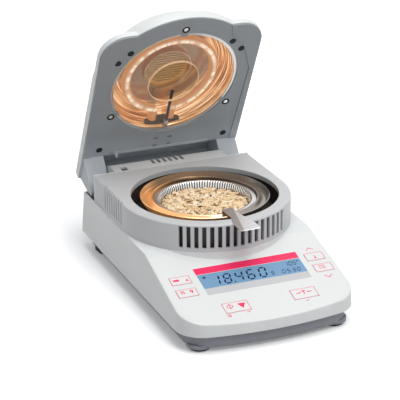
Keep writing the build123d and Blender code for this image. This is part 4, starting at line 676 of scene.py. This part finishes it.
# Painted highlight: the ribs and the hinge strip are a paler grey than the lid, for light on their
# edges.
rib_and_lip_highlight = moulded("rib_and_lip_highlight_plastic", (0.50, 0.53, 0.57), rough=0.42)
ribs = bmesh.new()
for side in (-1, 1):
    stroke(ribs, [(side * 73.2, -19.8), (side * 65.7, -42.4), (side * 48.3, -59.3)], 1.1, -0.3, 0.2)
bar(ribs, [(-50.0, 84.4), (50.0, 84.4), (50.0, 88.0), (-50.0, 88.0)], -0.25, 0.0)
bmesh.ops.recalc_face_normals(ribs, faces=ribs.faces)
settle("lid_ribs", ribs, rib_and_lip_highlight, "lid", AT_LID, 0)
sleeve_paint = moulded("probe_sleeve", (0.62, 0.58, 0.52), rough=0.5)
sleeve = bmesh.new()
bar(sleeve, [(1.2, 56.5), (4.8, 56.5), (4.8, 70.0), (1.2, 70.0)], 4.6, 8.1)
bmesh.ops.recalc_face_normals(sleeve, faces=sleeve.faces)
settle("probe_sleeve", sleeve, sleeve_paint, "lid", AT_LID, 0)
print("holes in the lid", len(LID_SCREWS + DIMPLES + CLIP_SCREWS))

# %% [markdown]
# The display: a blue pane with dark digits, made as thin solids that lie on it. The digits
# are seven-segment bars, generic numbers that name no product. The red band above, the grey
# strip below and the key frames are printed foil, so they stand up by only a few hundredths.

# %% Display and prints
lcd_blue = moulded("lcd_blue", (0.15, 0.30, 0.47), rough=0.3, grain=0.0, cloud=0.04)
ink_navy = moulded("lcd_ink", (0.003, 0.012, 0.06), rough=0.6, grain=0.0, Specular_IOR_Level=0.15)
ink_red = moulded("red_print", (0.82, 0.012, 0.10), rough=0.34, grain=0.0, cloud=0.02)
ink_pink = moulded("pink_print", (0.82, 0.20, 0.26), rough=0.34, grain=0.0, cloud=0.02)
ink_grey = moulded("grey_print", (0.50, 0.51, 0.52), rough=0.34, grain=0.0, cloud=0.02)
dress("display_window", lcd_blue)
dress("lcd_module", lcd_blue)


def block(mesh, x, y, width, height, low=0.0, high=0.06):
    """Adds a thin rectangle about a centre."""
    dx, dy = width / 2, height / 2
    bar(mesh, [(x - dx, y - dy), (x + dx, y - dy), (x + dx, y + dy), (x - dx, y + dy)], low, high)


def frame_of(mesh, x, y, width, height, line, low, high):
    """Adds a thin rectangular line."""
    for side in (-1, 1):
        block(mesh, x, y + side * (height - line) / 2, width, line, low, high)
        block(mesh, x + side * (width - line) / 2, y, line, height - 2 * line, low, high)


SEGMENTS = {
    "0": "abcdef", "1": "bc", "2": "abged", "3": "abgcd", "4": "fgbc", "5": "afgcd",
    "6": "afgedc", "7": "abc", "8": "abcdefg", "9": "abcdfg",
}


def digit(mesh, sign, x, y, width, height, line, slant=0.12, low=0.02, high=0.08):
    """Adds one seven-segment digit about a centre."""
    w, h = width / 2, height / 2
    spots = {
        "a": (0, h, True), "g": (0, 0, True), "d": (0, -h, True),
        "b": (w, h / 2, False), "c": (w, -h / 2, False),
        "f": (-w, h / 2, False), "e": (-w, -h / 2, False),
    }
    for key in SEGMENTS[sign]:
        cx, cy, flat = spots[key]
        if flat:
            dx, dy, tip = w - line * 0.35, line / 2, line / 2
            points = [(-dx, 0), (-dx + tip, -dy), (dx - tip, -dy)]
        else:
            dx, dy, tip = line / 2, h / 2 - line * 0.35, line / 2
            points = [(0, -dy), (dx, -dy + tip), (dx, dy - tip)]
        points += [(-px, -py) for px, py in points]
        bar(mesh, [(x + cx + px + (cy + py) * slant, y + cy + py) for px, py in points], low, high)


def printed(name, draw, paint):
    """A piece of print drawn on the panel."""
    mesh = bmesh.new()
    draw(mesh)
    bmesh.ops.recalc_face_normals(mesh, faces=mesh.faces)
    piece = settle(name, mesh, paint, "base", AT_PANEL, 0)
    print(name, "has", len(piece.data.polygons), "faces")


def draw_digits(mesh):
    for x, sign in zip((-33.4, -22.3, -10.8, 0.4, 12.1), "18460"):
        digit(mesh, sign, x, 59.9, 6.0, 12.4, 1.6, 0.17)
    block(mesh, -17.0, 53.9, 1.4, 1.4, 0.02, 0.08)
    digit(mesh, "9", 20.5, 56.4, 2.4, 4.4, 0.75, 0.17)
    for x, sign in zip((37.6, 41.7, 45.8), "105"):
        digit(mesh, sign, x, 65.0, 2.5, 5.2, 0.8, 0.17)
    for x, sign in zip((31.4, 36.2, 41.4, 46.2), "0530"):
        digit(mesh, sign, x, 56.0, 2.7, 4.4, 0.8, 0.17)
    frame_of(mesh, 49.2, 67.2, 1.7, 1.7, 0.5, 0.02, 0.08)
    stroke(mesh, [(-43.8, 65.9), (-41.4, 65.9)], 1.0, 0.02, 0.08)
    stroke(mesh, [(-42.6, 64.7), (-42.6, 67.1)], 1.0, 0.02, 0.08)


def draw_red(mesh):
    bar(mesh, [(-48.2, 70.9), (53.2, 70.9), (53.2, 79.7), (-48.2, 79.7)], 0.0, 0.06)


def draw_grey(mesh):
    block(mesh, 2.5, 46.4, 101.0, 8.6)


def draw_chevrons(mesh):
    stroke(mesh, [(64.2, 79.0), (67.6, 81.9), (71.0, 79.0)], 0.7, 0.0, 0.06)
    stroke(mesh, [(65.4, 41.2), (68.8, 38.0), (72.2, 41.2)], 0.7, 0.0, 0.06)
    frame_of(mesh, -40.3, 11.3, 3.2, 3.2, 0.5, 0.0, 0.06)
    stroke(mesh, [(-40.3, 10.4), (-40.3, 12.2)], 0.5, 0.0, 0.06)
    stroke(mesh, [(-23.4, 12.2), (-20.6, 12.2), (-20.6, 13.2)], 0.5, 0.0, 0.06)
    stroke(mesh, [(33.4, 12.7), (36.6, 12.7), (36.6, 13.7)], 0.5, 0.0, 0.06)


printed("display_digits", draw_digits, ink_navy)
printed("red_band", draw_red, ink_red)
printed("grey_strip", draw_grey, ink_grey)
printed("small_marks", draw_chevrons, ink_red)

# %% [markdown]
# Each key carries a thin pink frame and a plain symbol: a mark for printing, one for
# percent, one for power. The prints ride on their key, so they go down when it is pressed.

# %% Key prints
KEYS = {
    "print_key": (-64.6, 67.5, 19.4, 11.5), "percent_key": (-64.9, 49.9, 19.4, 11.5),
    "power_key": (-29.8, 21.2, 24.4, 13.8), "tare_key": (36.6, 22.8, 24.4, 13.8),
    "temperature_key": (67.9, 69.0, 18.4, 11.2), "time_key": (69.2, 52.3, 18.4, 11.2),
}
TOP = 0.15


def draw_symbol(name, mesh):
    x, y, width, height = KEYS[name]
    low, high = TOP, TOP + 0.05
    if name == "print_key":
        block(mesh, x - 3.8, y + 0.6, 5.6, 2.6, low, high)
        bar(mesh, [(x + 4.6, y - 2.0), (x + 7.6, y - 2.0), (x + 6.1, y + 1.4)], low, high)
    if name == "percent_key":
        stroke(mesh, [(x - 5.4, y - 0.4), (x - 2.4, y + 3.0)], 0.8, low, high)
        block(mesh, x - 5.0, y + 2.4, 1.5, 1.5, low, high)
        block(mesh, x - 2.6, y + 0.2, 1.5, 1.5, low, high)
        frame_of(mesh, x + 4.4, y + 1.8, 3.0, 2.8, 0.9, low, high)
        stroke(mesh, [(x + 5.5, y + 0.8), (x + 4.6, y - 0.8)], 0.8, low, high)
    if name == "power_key":
        bar(mesh, [(x + 5.6, y - 3.4), (x + 9.6, y + 3.6), (x + 1.8, y + 3.6)], low, high)
        stroke(mesh, [(x - 8.6, y + 1.4), (x - 5.6, y + 4.6), (x - 2.6, y + 1.4)], 0.6, low, high)
        stroke(mesh, [(x - 8.6, y + 1.4), (x - 5.6, y - 1.8), (x - 2.6, y + 1.4)], 0.6, low, high)
        stroke(mesh, [(x - 5.6, y - 0.2), (x - 5.6, y + 3.0)], 0.8, low, high)
    if name == "tare_key":
        for side in (-1, 1):
            stroke(mesh, [(x + side * 7.4, y + 1.2), (x + side * 4.4, y + 1.2)], 0.8, low, high)
            tip = x + side * 2.8
            tail = tip + side * 2.0
            bar(mesh, [(tip, y + 1.2), (tail, y + 2.4), (tail, y)], low, high)
        block(mesh, x, y + 1.0, 1.1, 4.4, low, high)
        block(mesh, x, y + 3.2, 4.4, 1.0, low, high)
    if name == "temperature_key":
        block(mesh, x, y, 0.8, 4.0, low, high)
        block(mesh, x, y - 2.2, 2.0, 1.4, low, high)
    if name == "time_key":
        frame_of(mesh, x - 1.0, y + 1.0, 5.4, 5.0, 0.5, low, high)
        stroke(mesh, [(x - 1.0, y + 2.8), (x - 1.0, y + 1.0), (x + 0.6, y + 0.2)], 0.6, low, high)


for key in KEYS:
    x, y, width, height = KEYS[key]
    border = bmesh.new()
    frame_of(border, x, y, width - 0.7, height - 0.7, 0.55, TOP, TOP + 0.05)
    bmesh.ops.recalc_face_normals(border, faces=border.faces)
    settle(key + "_frame", border, ink_pink, key, AT_PANEL, 0)
    sign = bmesh.new()
    draw_symbol(key, sign)
    bmesh.ops.recalc_face_normals(sign, faces=sign.faces)
    settle(key + "_symbol", sign, ink_red, key, AT_PANEL, 0)
print("printed keys", len(KEYS))

# %% [markdown]
# The pan handler is a strip of brushed steel with a flat tab. Its tone is a painted reflection:
# darker left of a slanting line and lighter right of it.

# %% Pan handler
handle_steel = Paint("handler_steel", metal=1.0)
x, y = (handle_steel.along(AT_PAN, axis) for axis in range(2))
brushed = handle_steel.noise(600.0, 3.0)
REFLECTION_EDGE_X = 18.3
# Painted reflection: the tab is darker left of a slanting line and lighter right of it.
painted_reflection_side = handle_steel.edge(x - y * 0.22, REFLECTION_EDGE_X - 0.4, REFLECTION_EDGE_X + 0.4)
painted_reflection_tone = handle_steel.blend(painted_reflection_side, (0.50, 0.49, 0.49), (0.86, 0.86, 0.87))
handle_steel.set("Base Color", painted_reflection_tone)
handle_steel.set("Roughness", 0.34 + brushed * 0.12)
handle_steel.bump(brushed, 0.00001)
dress("pan_handler", handle_steel)
# The x printed here is where the painted reflection's edge crosses; the tab itself is flat.
print("handler fold crosses x", REFLECTION_EDGE_X, "mm beside the pan's axis")

# %% [markdown]
# A flat floor takes the object's soft shadow. To the camera, and in metal and glass, it is
# white. To all other light it is a mid grey, so that it doesn't wash out what faces down. A
# little added light hides where it ends, and leaves the shadow round the object alone.

# %% Floor and light
floor_mesh = bmesh.new()
bmesh.ops.create_grid(floor_mesh, x_segments=1, y_segments=1, size=6.0)
floor_data = bpy.data.meshes.new("floor")
floor_mesh.to_mesh(floor_data)
floor_mesh.free()
floor = bpy.data.objects.new("floor", floor_data)
scene.collection.objects.link(floor)
floor_paint = Paint("studio_floor", rough=0.9, Specular_IOR_Level=0.1)
seen = floor_paint.node("ShaderNodeLightPath", out="Is Camera Ray")
for ray in ("Is Glossy Ray", "Is Transmission Ray"):
    seen = seen.maths("MAXIMUM", seen, floor_paint.node("ShaderNodeLightPath", out=ray))
floor_paint.set("Base Color", floor_paint.blend(seen, (0.55, 0.55, 0.55), (0.97, 0.97, 0.97)))
length = {"operation": "LENGTH"}
away = floor_paint.node("ShaderNodeVectorMath", length, [floor_paint.spot()], "Value")
far = floor_paint.edge(away, 0.35, 1.1) * 0.8 + 0.2
floor_paint.set("Emission Color", floor_paint.blend(seen * far, (0, 0, 0), (1, 1, 1)))
floor_paint.set("Emission Strength", 1.0)
floor_data.materials.append(floor_paint.material)

world = bpy.data.worlds.new("studio")
scene.world = world
world.use_nodes = True
sky = world.node_tree.nodes["Background"]
sky.inputs["Color"].default_value = (0.96, 0.98, 1.0, 1)
sky.inputs["Strength"].default_value = 0.45
backdrop = world.node_tree.nodes.new("ShaderNodeBackground")
chosen = world.node_tree.nodes.new("ShaderNodeMixShader")
ray = world.node_tree.nodes.new("ShaderNodeLightPath")
shown = ray.outputs["Is Camera Ray"]
for name in ("Is Glossy Ray", "Is Transmission Ray"):
    either = world.node_tree.nodes.new("ShaderNodeMath")
    either.operation = "MAXIMUM"
    world.node_tree.links.new(shown, either.inputs[0])
    world.node_tree.links.new(ray.outputs[name], either.inputs[1])
    shown = either.outputs[0]
world.node_tree.links.new(shown, chosen.inputs[0])
world.node_tree.links.new(sky.outputs[0], chosen.inputs[1])
world.node_tree.links.new(backdrop.outputs[0], chosen.inputs[2])
world.node_tree.links.new(chosen.outputs[0], world.node_tree.nodes["World Output"].inputs[0])
backdrop.inputs["Color"].default_value = (1, 1, 1, 1)


def softbox(name, location, target, size, power):
    """An area lamp turned to a point."""
    lamp = bpy.data.lights.new(name, "AREA")
    lamp.shape, lamp.size, lamp.energy = "DISK", size, power
    box = bpy.data.objects.new(name, lamp)
    scene.collection.objects.link(box)
    box.location = location
    aimed = Vector(target) - Vector(location)
    box.rotation_mode = "QUATERNION"
    box.rotation_quaternion = aimed.to_track_quat("-Z", "Y")
    print(name, "is", power, "W from", round(aimed.length, 2), "m")


softbox("top_light", (0.1, -0.15, 1.9), (0, 0, 0.05), 1.5, 20)
softbox("front_light", (0.35, -1.25, 1.65), (0, 0, 0.08), 1.0, 13)

# %% [markdown]
